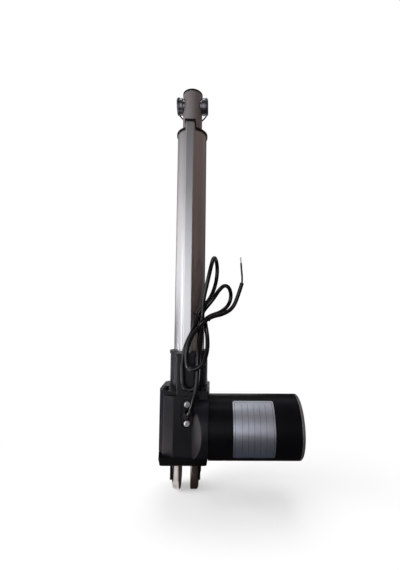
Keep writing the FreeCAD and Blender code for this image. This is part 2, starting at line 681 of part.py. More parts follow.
def make_worm():
    """One-start worm on the motor shaft, its thread facing the wheel at the middle."""
    slope = math.tan(math.radians(PRESSURE_ANGLE))
    thick = TOOTH_SHARE * worm_pitch
    sunk = 0.3 * MODULE
    root_half = thick / 2 + (1.25 * MODULE + sunk) * slope
    tip_half = thick / 2 - MODULE * slope
    length = WORM_TURNS * worm_pitch
    helix = Part.makeHelix(worm_pitch, length, WORM_PITCH_R)
    section = Part.makePolygon([
        Vector(worm_root_r - sunk, 0, -root_half),
        Vector(worm_tip_r, 0, -tip_half),
        Vector(worm_tip_r, 0, tip_half),
        Vector(worm_root_r - sunk, 0, root_half),
        Vector(worm_root_r - sunk, 0, -root_half),
    ])
    thread = Part.Wire(helix.Edges).makePipeShell([section], True, True)
    core = rod_z_axis(worm_root_r, -worm_pitch, length + worm_pitch)
    bore = rod_z_axis(SHAFT_R - RUN + SEAT, -worm_pitch, length + worm_pitch)
    worm = fused([core, thread]).cut(bore)
    # the thread passes the wheel's side of the worm a quarter turn after its start
    start = -(WORM_TURNS / 2 + 0.25) * worm_pitch
    worm.Placement = along_x(start)
    return worm


def sector_x(inner, outer, x0, x1, centre, spread):
    """Ring sector about the motor axis: angles in degrees from +Z towards -Y."""
    pie = Part.makeCylinder(outer, x1 - x0, Vector(0, 0, 0), Z_AXIS, spread)
    pie = pie.cut(rod_z_axis(inner, 0, x1 - x0))
    pie.rotate(Vector(0, 0, 0), Z_AXIS, centre - spread / 2)
    pie.Placement = along_x(x0).multiply(pie.Placement)
    return pie


def make_motor_can():
    """Drawn can: side wall, front plate with its spigot, open at the rear."""
    can = rod_x(MOTOR_R, can_x, can_end).cut(rod_x(can_bore, can_x + MOTOR_PLATE, can_end))
    can = fused([can, rod_x(MOTOR_SPIGOT_R, can_x - MOTOR_SPIGOT, can_x)])
    cuts = [rod_x(SHAFT_R + FREE, can_x - MOTOR_SPIGOT, can_x + MOTOR_PLATE)]
    for side in (-1, 1):
        cuts.append(rod_x(BOLT_R + SEAT, can_x, can_x + MOTOR_PLATE, MOTOR_Y + side * BOLT_OFFSET))
    return can.cut(Part.makeCompound(cuts))


def make_motor_end_cap():
    """Rear bell: edge-broken disc with the bearing cup inside and two countersunk bolt seats."""
    end = can_end + END_CAP_THICKNESS
    disc = rod_x(MOTOR_R, can_end, end)
    rim = [e for e in disc.Edges if abs(e.BoundBox.XMin - end) < 1e-6]
    disc = disc.makeChamfer(END_CAP_EDGE, rim)
    cup = rod_x(END_CAP_BOSS_R, rear_bearing_x, can_end)
    cup = cup.cut(rod_x(SHAFT_BEARING_R + SEAT, rear_bearing_x, can_end))
    cuts = []
    for side in (-1, 1):
        y = MOTOR_Y + side * BOLT_OFFSET
        cuts.append(rod_x(BOLT_R + SEAT, can_end, end, y))
        cuts.append(rod_x(BOLT_HEAD_R + SEAT, end - BOLT_HEAD - SEAT, end, y))
    return fused([disc, cup]).cut(Part.makeCompound(cuts))


def make_motor_bolts():
    end = can_end + END_CAP_THICKNESS
    bolts = []
    for side in (-1, 1):
        y = MOTOR_Y + side * BOLT_OFFSET
        shank = rod_x(BOLT_R, HOUSING_RIGHT - BOLT_REACH, end - BOLT_HEAD, y)
        bolts.append(fused([shank, rod_x(BOLT_HEAD_R, end - BOLT_HEAD, end - SEAT, y)]))
    return bolts


def make_magnets():
    """Two arc magnets above and below the armature, seated in the can."""
    x0, x1 = core_x - WINDING_REACH / 2, core_x + core_length + WINDING_REACH / 2
    inner = can_bore - MAGNET_THICKNESS
    return [sector_x(inner, can_bore - SEAT, x0, x1, centre, MAGNET_ARC) for centre in (0, 180)]


def make_armature_core():
    """Slotted lamination stack."""
    core = ring_x(SHAFT_R - RUN + SEAT, core_r, core_x, core_x + core_length)
    slots = []
    for n in range(CORE_SLOTS):
        slot = box(core_r - SLOT_DEPTH, core_r + AIR_GAP, -SLOT_HALF, SLOT_HALF, 0, core_length)
        slot.rotate(Vector(0, 0, 0), Z_AXIS, 360.0 * n / CORE_SLOTS)
        slot.Placement = along_x(core_x).multiply(slot.Placement)
        slots.append(slot)
    return core.cut(Part.makeCompound(slots))


def make_windings():
    """Copper end turns on both sides of the core."""
    turns = []
    for x0 in (core_x - WINDING_REACH, core_x + core_length):
        turn = ring_x(WINDING_BORE_R, WINDING_R, x0, x0 + WINDING_REACH)
        outside = x0 if x0 < core_x else x0 + WINDING_REACH
        edges = [e for e in turn.Edges if abs(e.BoundBox.XMin - outside) < 1e-6
                 and abs(e.BoundBox.XMax - outside) < 1e-6]
        turns.append(turn.makeFillet(WINDING_REACH / 3, edges))
    return turns


def make_brush_holder():
    """Insulating plate across the can with two brush boxes."""
    plate_x = commutator_x
    plate = ring_x(COMMUTATOR_R + FREE, can_bore - SEAT, plate_x, plate_x + BRUSH_PLATE)
    inner = COMMUTATOR_R + FREE * 2
    outer = inner + BRUSH_LENGTH
    boxes = []
    slots = []
    for side in (-1, 1):
        y0, y1 = sorted((MOTOR_Y + side * inner, MOTOR_Y + side * outer))
        reach = BRUSH_HALF + BRUSH_PLATE
        boxes.append(box(plate_x, brush_x + reach, y0, y1, worm_z - reach, worm_z + reach))
        slots.append(box(brush_x - BRUSH_HALF - SEAT, brush_x + BRUSH_HALF + SEAT, y0, y1,
                         worm_z - BRUSH_HALF - SEAT, worm_z + BRUSH_HALF + SEAT))
    for side in (-1, 1):
        slots.append(rod_x(BOLT_R + FREE, plate_x, plate_x + BRUSH_PLATE, MOTOR_Y + side * BOLT_OFFSET))
    return fused([plate] + boxes).cut(Part.makeCompound(slots))


def make_brushes():
    """Carbon brushes, their faces hollowed to the commutator."""
    brushes = []
    for side in (-1, 1):
        y0, y1 = sorted((MOTOR_Y, MOTOR_Y + side * (COMMUTATOR_R + BRUSH_LENGTH)))
        x0, x1 = brush_x - BRUSH_HALF, brush_x + BRUSH_HALF
        brush = box(x0, x1, y0, y1, worm_z - BRUSH_HALF, worm_z + BRUSH_HALF)
        brushes.append(brush.cut(rod_x(COMMUTATOR_R + RUN, x0, x1)))
    return brushes


def make_front_bush():
    """Two flanged bushes, pressed into the rod end from both sides, each with a groove for the wire bail."""
    bushes = []
    for side in (-1, 1):
        inner, outer = sorted((side * (ROD_R + SEAT), side * bush_half))
        flange = rod_x(BUSH_FLANGE_R, inner, outer, 0, front_pivot_z)
        rims = [e for e in flange.Edges if e.BoundBox.XLength < 1e-6]
        flange = flange.makeChamfer(BUSH_CHAMFER, rims)
        start, end = sorted((0, side * bush_half))
        sleeve = rod_x(BUSH_SLEEVE_R, start, end, 0, front_pivot_z)
        near = side * groove_x - GROOVE_WIDTH / 2
        groove = ring_x(BUSH_FLANGE_R - GROOVE_DEPTH, BUSH_FLANGE_R + GROOVE_DEPTH, near, near + GROOVE_WIDTH,
                        0, front_pivot_z)
        bore = rod_x(PIVOT_BORE_R, start, end, 0, front_pivot_z)
        bushes.append(fused([flange, sleeve]).cut(groove).cut(bore))
    return bushes


def make_keeper_bail():
    """Wire bail: an eye in each bush's groove and a bow that rests behind the rod."""
    eye_r = BUSH_FLANGE_R - GROOVE_DEPTH + RUN + WIRE_R
    pivot = Vector(0, 0, front_pivot_z)
    eyes = [Part.makeTorus(eye_r, WIRE_R, pivot + X_AXIS * s * groove_x, X_AXIS) for s in (-1, 1)]
    drop = math.radians(BAIL_DROP)
    away = Vector(0, math.cos(drop), -math.sin(drop))
    reach = (ROD_R + BAIL_ROOM + WIRE_R) / math.cos(drop)
    ends = [pivot + X_AXIS * s * groove_x + away * eye_r for s in (-1, 1)]
    bow_line = Part.Wire([arc_through(ends[0], pivot + away * reach, ends[1])])
    way = bow_line.Edges[0].tangentAt(bow_line.Edges[0].FirstParameter)
    bow = bow_line.makePipeShell([Part.Wire([Part.makeCircle(WIRE_R, ends[0], way)])], True, False)
    return fused(eyes + [bow])


def make_rod_end_cap():
    disc = rod_z_axis(ROD_R + ROD_CAP_RIM, rod_top, rod_top + ROD_CAP)
    spigot = rod_z_axis(rod_bore - SEAT, rod_top - ROD_CAP_SPIGOT, rod_top)
    return fused([disc, spigot])


def make_rod_tube():
    tube = ring_z(rod_bore, ROD_R, rod_z, rod_top)
    return tube.cut(rod_x(BUSH_SLEEVE_R + SEAT, -ROD_R, ROD_R, 0, front_pivot_z))


def make_switch_board():
    return box(-BOARD_HALF, BOARD_HALF, -duct_front + SEAT, -duct_front + SEAT + BOARD_THICKNESS,
               tube_z + BOARD_MARGIN, tube_top - BOARD_MARGIN)


def make_limit_switches():
    """Two switches on the board, passed by the nut's key at both ends of the stroke."""
    back = -duct_front + SEAT + BOARD_THICKNESS
    feet = (rod_z - SWITCH_LENGTH, nut_z + stroke)
    return [box(-SWITCH_HALF, SWITCH_HALF, back, -SWITCH_FRONT, z, z + SWITCH_LENGTH) for z in feet]


def make_cable_clamp():
    """Oblong clamp plate with a slanted nozzle for the cable and room for the screw heads."""
    plate = clamp_stadium(CLAMP_HALF, CLAMP_LENGTH, clamp_face, clamp_floor)
    nozzle = cable_way(NOZZLE_R, 0, NOZZLE_LENGTH * 2)
    behind = box(-FLAT_LEFT, FLAT_LEFT, clamp_floor, 0, housing_z, housing_top)
    body = fused([plate, nozzle.cut(behind)])
    cuts = [cable_way(CABLE_R + SEAT, NOZZLE_LENGTH, NOZZLE_LENGTH * 3)]
    cuts += clamp_holes(CLAMP_SCREW_R + SEAT, clamp_face, clamp_floor)
    cuts += clamp_holes(CLAMP_SCREW_HEAD_R + SEAT, -2 * FLAT_FRONT, clamp_face)
    return body.cut(Part.makeCompound(cuts))


def make_clamp_screws():
    """Two pan-head screws of the clamp; the cross recess is left plain."""
    reach = CLAMP_SCREW_REACH - CLAMP_RECESS + CLAMP_THICKNESS
    screws = []
    for s in (-1, 1):
        foot = Vector(CLAMP_X, clamp_face, clamp_z + s * CLAMP_SCREW_SPACING / 2)
        head = Part.makeCylinder(CLAMP_SCREW_HEAD_R, CLAMP_SCREW_HEAD, foot, -Y_AXIS)
        rim = [e for e in head.Edges if abs(e.BoundBox.YMax - (clamp_face - CLAMP_SCREW_HEAD)) < 1e-6]
        head = head.makeFillet(CLAMP_SCREW_HEAD / 2, rim)
        shank = Part.makeCylinder(CLAMP_SCREW_R, reach, foot, Y_AXIS)
        screws.append(fused([head, shank]))
    return screws


def cord_tube(route, radius, name):
    """Round tube along straight runs and tangent arcs, each arc as large as its runs allow."""
    points = [Vector(*p) + cable_lift for p in route]
    radii = [0.0] * len(points)
    for n in range(1, len(points) - 1):
        back, ahead = points[n - 1] - points[n], points[n + 1] - points[n]
        half_turn = (math.pi - back.getAngle(ahead)) / 2
        radii[n] = 0.45 * min(back.Length, ahead.Length) / math.tan(half_turn)
    edges = rounded_path(points, radii, False)
    way = points[1] - points[0]
    section = Part.Wire([Part.makeCircle(radius, points[0], way)])
    path = Part.Wire(edges)
    tube = path.makePipeShell([section], True, False)
    expected = math.pi * radius * radius * path.Length
    print("%s: radii %s mm, length %.1f mm, volume over section times length %.4f" % (
        name, [round(r, 1) for r in radii[1:-1]], path.Length, tube.Volume / expected))
    return tube


def oblong_sleeve(radius, half, length):
    """Oblong bar along +Z, centred, for the bundle of the hank."""
    bar = box(-half, half, -radius, radius, -length / 2, length / 2)
    ends = [rod_z_axis(radius, -length / 2, length / 2, s * half) for s in (-1, 1)]
    return fused([bar] + ends)


def hank_place(shape):
    shape.Placement = Placement(HANK_CENTRE + cable_lift, Rotation(Y_AXIS, HANK_TILT))
    return shape


def make_cord_hank():
    """Outer shape of the tied hank: the bundle and its four loops."""
    loops = [
        cord_tube(UPPER_LOOP_A, CABLE_R, "upper loop a"),
        cord_tube(LOWER_LOOP_A, CABLE_R, "lower loop a"),
        cord_tube(UPPER_LOOP_B, CABLE_R, "upper loop b"),
        cord_tube(LOWER_LOOP_B, CABLE_R, "lower loop b"),
    ]
    bundle = hank_place(oblong_sleeve(HANK_R, HANK_HALF, HANK_LENGTH))
    return fused([bundle] + loops)


def make_cable_tie():
    outer = oblong_sleeve(HANK_R + SEAT + TIE_THICKNESS, HANK_HALF, TIE_WIDTH)
    return hank_place(outer.cut(oblong_sleeve(HANK_R + SEAT, HANK_HALF, TIE_WIDTH)))


def make_core_wires():
    routes = [[(x, CORE_Y + s * CORE_SPREAD, z) for x, z in CORE_ROUTE] for s in (-1, 1)]
    return [cord_tube(route, CORE_R, "core wire") for route in routes]


def make_core_tips():
    (x0, z0), (x1, z1) = CORE_ROUTE[-2:]
    way = Vector(x1 - x0, 0, z1 - z0)
    starts = [Vector(x1, CORE_Y + s * CORE_SPREAD, z1) + cable_lift for s in (-1, 1)]
    return [Part.makeCylinder(TIP_R, TIP_LENGTH, start, way) for start in starts]


def make_shaft():
    front = -TIP_X - TIP_BUSH_LENGTH
    return rod_x(SHAFT_R - RUN, front, can_end)


def make_nodes():
    shaft_bore = SHAFT_R
    along_z = Rotation()
    return {
        "gear_housing": make_gear_housing(),
        "tube_socket": make_tube_socket(),
        "rear_cover": make_rear_cover(),
        "rear_clevis": make_rear_clevis(),
        "housing_screws": screw_group(cover_screws, COVER_Z, HOUSING_SCREW_R, HOUSING_SCREW_HEAD_R,
                                      HOUSING_SCREW_HEAD, HOUSING_SCREW_REACH, True),
        "socket_screws": screw_group(socket_screws, housing_top + SOCKET_FLANGE, HOUSING_SCREW_R,
                                     HOUSING_SCREW_HEAD_R, HOUSING_SCREW_HEAD, HOUSING_SCREW_REACH, False),
        "outer_tube": make_outer_tube(),
        "tube_end_cap": make_tube_end_cap(),
        "rod_guide": ring_z(ROD_R + RUN, tube_bore - SEAT, tube_top - GUIDE_LENGTH, tube_top),
        "rod_wiper": ring_z(ROD_R + RUN, ROD_R + WIPER_WIDTH, tube_top, tube_top + CAP_THICKNESS),
        "motor_can": make_motor_can(),
        "motor_end_cap": make_motor_end_cap(),
        "motor_bolts": make_motor_bolts(),
        "motor_magnets": make_magnets(),
        "brush_holder": make_brush_holder(),
        "carbon_brushes": make_brushes(),
        "motor_rear_bearing": bearing(shaft_bore, SHAFT_BEARING_R, SHAFT_BEARING_WIDTH,
                                      along_x(rear_bearing_x)),
        "worm_bearing": bearing(shaft_bore, SHAFT_BEARING_R, SHAFT_BEARING_WIDTH, along_x(BEARING_X)),
        "worm_tip_bush": ring_x(shaft_bore, TIP_BUSH_R, -TIP_X - TIP_BUSH_LENGTH, -TIP_X),
        "lower_screw_bearing": bearing(SCREW_R, SCREW_BEARING_R, SCREW_BEARING_WIDTH,
                                       Placement(Vector(0, 0, lower_bearing_z), along_z)),
        "upper_screw_bearing": bearing(SCREW_R, SCREW_BEARING_R, SCREW_BEARING_WIDTH,
                                       Placement(Vector(0, 0, upper_bearing_z), along_z)),
        "switch_board": make_switch_board(),
        "limit_switches": make_limit_switches(),
        "cable_clamp": make_cable_clamp(),
        "clamp_screws": make_clamp_screws(),
        "power_cord": cord_tube(CABLE_EXIT, CABLE_R, "power cord"),
        "cord_hank": make_cord_hank(),
        "cord_tail": cord_tube(CABLE_TAIL, CABLE_R, "cord tail"),
        "core_wires": make_core_wires(),
        "core_tips": make_core_tips(),
        "cable_tie": make_cable_tie(),
        "motor_shaft": make_shaft(),
        "worm": make_worm(),
        "armature_core": make_armature_core(),
        "armature_windings": make_windings(),
        "commutator": ring_x(SHAFT_R - RUN + SEAT, COMMUTATOR_R, commutator_x,
                             commutator_x + COMMUTATOR_LENGTH),
        "lead_screw": make_lead_screw(),
        "worm_wheel": make_worm_wheel(),
        "screw_end_stop": rod_z_axis(SCREW_STOP_R, screw_top, screw_top + SCREW_STOP),
        "rod_tube": make_rod_tube(),
        "drive_nut": make_drive_nut(),
        "front_bush": make_front_bush(),
        "rod_end_cap": make_rod_end_cap(),
        "keeper_bail": make_keeper_bail(),
    }


os.makedirs("parts", exist_ok=True)
for name, shape in make_nodes().items():
    if isinstance(shape, list):
        shape = Part.makeCompound(shape)
    solids = shape.Solids
    valid = all(s.isValid() for s in solids)
    volume = sum(s.Volume for s in solids)
    print("%s: solids %d valid %s volume %.1f mm3" % (name, len(solids), valid, volume))
    shape.exportStep("parts/%s.step" % name)
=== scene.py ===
# %% [markdown]
# # Electric linear actuator
#
# A small motor turns a worm. The worm turns a wheel on a long screw, and the screw pushes a rod out of an
# extruded tube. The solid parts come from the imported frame. This lesson gives them their finishes and adds
# what the solids leave plain: the cable, its tie, the screw heads, the rounded clevis fork, the label plate
# and the lead screw's thread.

# %% Load the frame
import math

import bpy
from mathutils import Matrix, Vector


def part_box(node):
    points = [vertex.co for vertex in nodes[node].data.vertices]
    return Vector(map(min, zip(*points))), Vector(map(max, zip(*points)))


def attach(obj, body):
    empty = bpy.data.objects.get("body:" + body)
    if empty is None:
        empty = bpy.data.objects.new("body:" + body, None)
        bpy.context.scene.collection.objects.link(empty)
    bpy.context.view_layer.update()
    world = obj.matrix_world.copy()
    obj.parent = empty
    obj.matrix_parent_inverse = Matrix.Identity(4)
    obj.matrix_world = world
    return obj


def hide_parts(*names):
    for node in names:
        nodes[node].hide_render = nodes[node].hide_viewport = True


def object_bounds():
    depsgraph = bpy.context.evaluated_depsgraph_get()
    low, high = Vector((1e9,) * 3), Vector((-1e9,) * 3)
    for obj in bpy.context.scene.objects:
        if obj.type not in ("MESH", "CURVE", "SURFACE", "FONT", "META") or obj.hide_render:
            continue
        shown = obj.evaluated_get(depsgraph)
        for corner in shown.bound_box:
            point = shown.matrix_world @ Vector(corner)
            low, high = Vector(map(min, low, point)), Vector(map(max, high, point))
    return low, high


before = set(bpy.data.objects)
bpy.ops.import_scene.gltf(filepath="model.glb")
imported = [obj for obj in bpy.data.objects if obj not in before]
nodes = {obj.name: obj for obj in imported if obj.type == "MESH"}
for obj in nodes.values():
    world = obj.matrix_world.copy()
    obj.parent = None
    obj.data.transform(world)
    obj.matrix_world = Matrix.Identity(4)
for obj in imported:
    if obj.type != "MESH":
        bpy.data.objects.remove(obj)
first_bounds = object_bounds()
MM = 0.001
print("CAD nodes:", len(nodes))

# %% [markdown]
# ## Camera
#
# The picture is taken from close by, a little above the middle of the tube and to its right, with the
# camera tipped up by a few degrees. From far off, a long lens would keep the tube's sides parallel. A short
# lens and a small shift make the tube narrow upwards, as it does in the picture.

# %% Camera
CAMERA_PLACE = Vector((0.02937, -0.34199, 0.16400))
CAMERA_TURN = (94.462, -0.408, -0.566)
CAMERA_LENS = 19.554
CAMERA_SHIFT = (-0.0342, 0.0184)

camera_data = bpy.data.cameras.new("camera")
camera = bpy.data.objects.new("camera", camera_data)
bpy.context.collection.objects.link(camera)
camera.location = CAMERA_PLACE
camera.rotation_euler = [math.radians(a) for a in CAMERA_TURN]
camera_data.lens = CAMERA_LENS
camera_data.sensor_width = 36.0
camera_data.shift_x, camera_data.shift_y = CAMERA_SHIFT
camera_data.clip_start = 0.01
bpy.context.scene.camera = camera
print("camera at", [round(c, 3) for c in CAMERA_PLACE])

# %% [markdown]
# ## Cable
#
# The real cable is round black PVC. It leaves the clamp on the front flat, is folded into two upper and two
# lower loops, and is tied in the middle. A physics run could drop it into place, but its folds would come
# out by chance. Here it is one smooth curve through points set one by one, so each loop keeps its own bend,
# and the five strands lie side by side under the tie.

# %% Cable
CABLE_DIAMETER = 4.2 * MM
CABLE_ROUTE = [
    # out of the clamp, up to the tie
    (1.0, -34.5, 69.5), (2.2, -41.0, 73.0), (6.8, -47.0, 80.0), (9.6, -49.0, 91.5),
    (11.3, -48.8, 103.0), (12.0, -48.0, 114.0), (12.4, -46.5, 125.0), (12.0, -41.5, 141.0),
    (13.6, -31.5, 156.5), (15.4, -28.2, 166.5),
    # tall upper loop
    (15.6, -29.8, 182.0), (19.9, -32.0, 201.0), (23.4, -31.0, 217.5), (25.8, -22.5, 229.0),
    (28.6, -11.5, 229.0), (30.2, -4.0, 218.5), (28.5, -5.0, 203.0), (23.5, -12.5, 188.0),
    (16.0, -18.5, 177.5), (11.6, -23.8, 171.5), (10.8, -28.2, 166.0),
    # long lower loop
    (6.9, -33.0, 154.5), (1.6, -37.5, 143.5), (-1.8, -40.4, 133.5), (-3.2, -40.4, 122.0),
    (-2.6, -40.4, 110.5), (-2.2, -40.4, 101.0), (1.9, -40.4, 96.9), (7.1, -40.5, 96.9),
    (11.2, -40.7, 101.0), (11.8, -41.2, 111.0), (12.6, -38.6, 128.0), (14.6, -30.0, 149.0),
    (14.0, -25.0, 160.0), (13.4, -23.4, 167.0),
    # wide upper loop
    (16.4, -24.8, 173.5), (21.7, -28.0, 179.5), (26.7, -28.5, 186.0), (31.8, -25.5, 194.3),
    (37.4, -18.0, 200.4), (43.2, -9.5, 198.6), (45.6, -4.0, 189.0), (42.0, -5.0, 178.5),
    (33.1, -10.5, 171.6), (24.0, -18.5, 168.5), (17.8, -23.4, 164.5),
    # short lower loop
    (18.4, -27.0, 158.5), (19.6, -33.0, 153.5), (20.8, -39.5, 146.0), (21.2, -46.0, 136.5),
    (19.2, -50.6, 127.0), (14.6, -52.2, 120.4), (7.3, -51.5, 116.8), (2.2, -48.5, 120.2),
    (0.8, -46.3, 129.5), (2.8, -44.2, 140.5), (7.0, -39.8, 150.0), (13.2, -35.4, 158.0),
    (19.6, -28.6, 164.0),
    # free end
    (26.5, -23.5, 167.5), (36.0, -20.0, 169.5), (46.2, -18.5, 175.5), (51.6, -18.5, 188.0),
    (56.0, -18.5, 202.5),
]


def smooth_line(name, route, radius):
    """A round cord along one smooth spline through points in millimetres, each as wide as the cord."""
    data = bpy.data.curves.new(name, "CURVE")
    data.dimensions = "3D"
    spline = data.splines.new("NURBS")
    spline.points.add(len(route) - 1)
    for point, place in zip(spline.points, route):
        point.co = (place[0] * MM, place[1] * MM, place[2] * MM, 1.0)
        point.radius = radius
    spline.order_u = 3
    spline.use_endpoint_u = True
    spline.resolution_u = 6
    data.bevel_depth = 1.0
    data.bevel_resolution = 5
    data.use_fill_caps = True
    piece = bpy.data.objects.new(name, data)
    bpy.context.collection.objects.link(piece)
    return piece


def line_length(piece):
    """Length of a curve's own line, without its thickness."""
    plain = piece.data.copy()
    plain.bevel_depth = 0.0
    holder = bpy.data.objects.new("measure", plain)
    bpy.context.collection.objects.link(holder)
    mesh = holder.to_mesh()
    run = sum((mesh.vertices[e.vertices[0]].co - mesh.vertices[e.vertices[1]].co).length for e in mesh.edges)
    holder.to_mesh_clear()
    bpy.data.objects.remove(holder)
    bpy.data.curves.remove(plain)
    return run


cable = smooth_line("cable", CABLE_ROUTE, CABLE_DIAMETER / 2)
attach(cable, "housing")
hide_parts("power_cord", "cord_hank", "cord_tail")
print("cable length", round(line_length(cable), 4))

# %% [markdown]
# ## Floor
#
# The object stands on a pale floor that turns into plain white further out, so it keeps its own soft shadow
# and has no horizon. In a studio this is a roll of paper. One plane is enough here: its material fades from
# matt paint to even white with the distance from the middle.

# %% Floor
FLOOR_LEVEL = first_bounds[0].z
FLOOR_SIZE = 8.0
FLOOR_TONE = (0.93, 0.93, 0.93, 1)
FLOOR_ROUGHNESS = 0.9
FADE_START, FADE_END = 0.06, 0.30
WHITE_SHARE = 0.4


def new_material(name):
    material = bpy.data.materials.new(name)
    material.use_nodes = True
    tree = material.node_tree
    return material, tree, tree.nodes["Principled BSDF"]


def add_node(tree, kind, **settings):
    node = tree.nodes.new(kind)
    for key, value in settings.items():
        setattr(node, key, value)
    return node


def make_floor():
    bpy.ops.object.select_all(action="DESELECT")
    bpy.ops.mesh.primitive_plane_add(size=FLOOR_SIZE, location=(0, 0, FLOOR_LEVEL))
    floor = bpy.context.active_object
    floor.name = "floor"
    material, tree, surface = new_material("floor")
    surface.inputs["Base Color"].default_value = FLOOR_TONE
    surface.inputs["Roughness"].default_value = FLOOR_ROUGHNESS
    surface.inputs["Specular IOR Level"].default_value = 0.0
    coords = add_node(tree, "ShaderNodeTexCoord")
    away = add_node(tree, "ShaderNodeVectorMath", operation="LENGTH")
    fade = add_node(tree, "ShaderNodeMapRange", interpolation_type="SMOOTHSTEP")
    fade.inputs["From Min"].default_value = FADE_START
    fade.inputs["From Max"].default_value = FADE_END
    fade.inputs["To Min"].default_value = WHITE_SHARE
    paper = add_node(tree, "ShaderNodeEmission")
    paper.inputs["Strength"].default_value = 1.0
    mix = add_node(tree, "ShaderNodeMixShader")
    tree.links.new(coords.outputs["Object"], away.inputs[0])
    tree.links.new(away.outputs["Value"], fade.inputs["Value"])
    tree.links.new(fade.outputs["Result"], mix.inputs[0])
    tree.links.new(surface.outputs[0], mix.inputs[1])
    tree.links.new(paper.outputs[0], mix.inputs[2])
    tree.links.new(mix.outputs[0], tree.nodes["Material Output"].inputs["Surface"])
    floor.data.materials.append(material)


make_floor()
print("floor at", round(FLOOR_LEVEL, 4))

# %% [markdown]
# ## World and lights
#
# The room is white for the eye and for reflections, and weaker for the light that it sheds. A large soft
# light comes from the left, a weak one from the right and one from above, behind the tube. The lights are
# hidden from reflections, which the cards of the next step shape.

# %% World and lights
ROOM_TONE = (1.0, 0.99, 0.975, 1)
ROOM_STRENGTH = 0.42
MIDDLE = (0.01, 0.0, 0.2)


def make_world():
    world = bpy.data.worlds.new("studio")
    bpy.context.scene.world = world
    world.use_nodes = True
    tree = world.node_tree
    tree.nodes.clear()
    path = add_node(tree, "ShaderNodeLightPath")
    glossy = add_node(tree, "ShaderNodeMath", operation="MAXIMUM")
    through = add_node(tree, "ShaderNodeMath", operation="MAXIMUM")
    room = add_node(tree, "ShaderNodeBackground")
    room.inputs["Color"].default_value = ROOM_TONE
    room.inputs["Strength"].default_value = ROOM_STRENGTH
    white = add_node(tree, "ShaderNodeBackground")
    white.inputs["Color"].default_value = (1, 1, 1, 1)
    white.inputs["Strength"].default_value = 1.0
    mix = add_node(tree, "ShaderNodeMixShader")
    output = add_node(tree, "ShaderNodeOutputWorld")
    tree.links.new(path.outputs["Is Camera Ray"], glossy.inputs[0])
    tree.links.new(path.outputs["Is Glossy Ray"], glossy.inputs[1])
    tree.links.new(glossy.outputs[0], through.inputs[0])
    tree.links.new(path.outputs["Is Transmission Ray"], through.inputs[1])
    tree.links.new(through.outputs[0], mix.inputs[0])
    tree.links.new(room.outputs[0], mix.inputs[1])
    tree.links.new(white.outputs[0], mix.inputs[2])
    tree.links.new(mix.outputs[0], output.inputs["Surface"])


def soft_light(name, place, width, height, power):
    data = bpy.data.lights.new(name, "AREA")
    data.shape = "RECTANGLE"
    data.size, data.size_y = width, height
    data.energy = power
    light = bpy.data.objects.new(name, data)
    bpy.context.collection.objects.link(light)
    light.location = place
    light.rotation_euler = (Vector(MIDDLE) - Vector(place)).to_track_quat("-Z", "Y").to_euler()
    light.visible_glossy = False


make_world()
LIGHTS = [
    # name, place, width, height, power
    ("key", (-1.1, -0.3, 0.55), 0.8, 1.1, 20.0),
    ("fill", (0.9, -0.9, 0.5), 0.9, 0.9, 3.0),
    ("top", (0.1, 0.35, 1.1), 0.9, 0.6, 6.0),
]
for light in LIGHTS:
    soft_light(*light)
print("soft lights:", len(LIGHTS))

# %% [markdown]
# ## Reflection cards
#
# Bare metal and gloss show what stands around them, so cards are put up, as in a photo studio. More lamps
# could do that, but they would light the object too. So only reflections see a card's front, and its back
# is clear.

# %% Reflection cards
CARD_EDGE = 0.5


def reflection_card(name, place, facing, width, height, low, high):
    """A flat card whose front only reflections see, shaded from its lower edge to its upper edge."""
    bpy.ops.object.select_all(action="DESELECT")
    bpy.ops.mesh.primitive_plane_add(size=1.0, location=place)
    card = bpy.context.active_object
    card.name = name
    card.scale = (width, height, 1)
    card.rotation_euler = Vector(facing).to_track_quat("Z", "Y").to_euler()
    material, tree, surface = new_material(name)
    surface.inputs["Base Color"].default_value = (0, 0, 0, 1)
    surface.inputs["Roughness"].default_value = 1.0
    surface.inputs["Specular IOR Level"].default_value = 0.0
    surface.inputs["Emission Strength"].default_value = 1.0
    coords = add_node(tree, "ShaderNodeTexCoord")
    parts = add_node(tree, "ShaderNodeSeparateXYZ")
    rise = add_node(tree, "ShaderNodeMapRange", interpolation_type="SMOOTHSTEP")
    rise.inputs["From Min"].default_value = -CARD_EDGE
    rise.inputs["From Max"].default_value = CARD_EDGE
    blend = add_node(tree, "ShaderNodeMix", data_type="RGBA")
    blend.inputs["A"].default_value = low
    blend.inputs["B"].default_value = high
    tree.links.new(coords.outputs["Object"], parts.inputs[0])
    tree.links.new(parts.outputs["Y"], rise.inputs["Value"])
    tree.links.new(rise.outputs["Result"], blend.inputs["Factor"])
    tree.links.new(blend.outputs["Result"], surface.inputs["Emission Color"])
    side = add_node(tree, "ShaderNodeNewGeometry")
    clear = add_node(tree, "ShaderNodeBsdfTransparent")
    front = add_node(tree, "ShaderNodeMixShader")
    tree.links.new(side.outputs["Backfacing"], front.inputs[0])
    tree.links.new(surface.outputs[0], front.inputs[1])
    tree.links.new(clear.outputs[0], front.inputs[2])
    tree.links.new(front.outputs[0], tree.nodes["Material Output"].inputs["Surface"])
    card.data.materials.append(material)
    card.visible_camera = False
    card.visible_diffuse = False
    card.visible_shadow = False


print("card maker ready")

# %% [markdown]
# ## Cards round the object
#
# The cards are bright on the left and in front, fading upwards, and dark on the right, behind and on the
# floor. Small bright ones on the floor light the housing's facets and the cable's edge. One table holds
# them all, so that a card is moved or toned in one line.

# %% Cards round the object
CARD_LIFT = 0.0004


def shade(red, green, blue):
    """Linear colour from the 0 to 255 values that a picture shows."""
    def linear(level):
        part = level / 255
        return part / 12.92 if part <= 0.04045 else ((part + 0.055) / 1.055) ** 2.4
    return (linear(red), linear(green), linear(blue), 1.0)


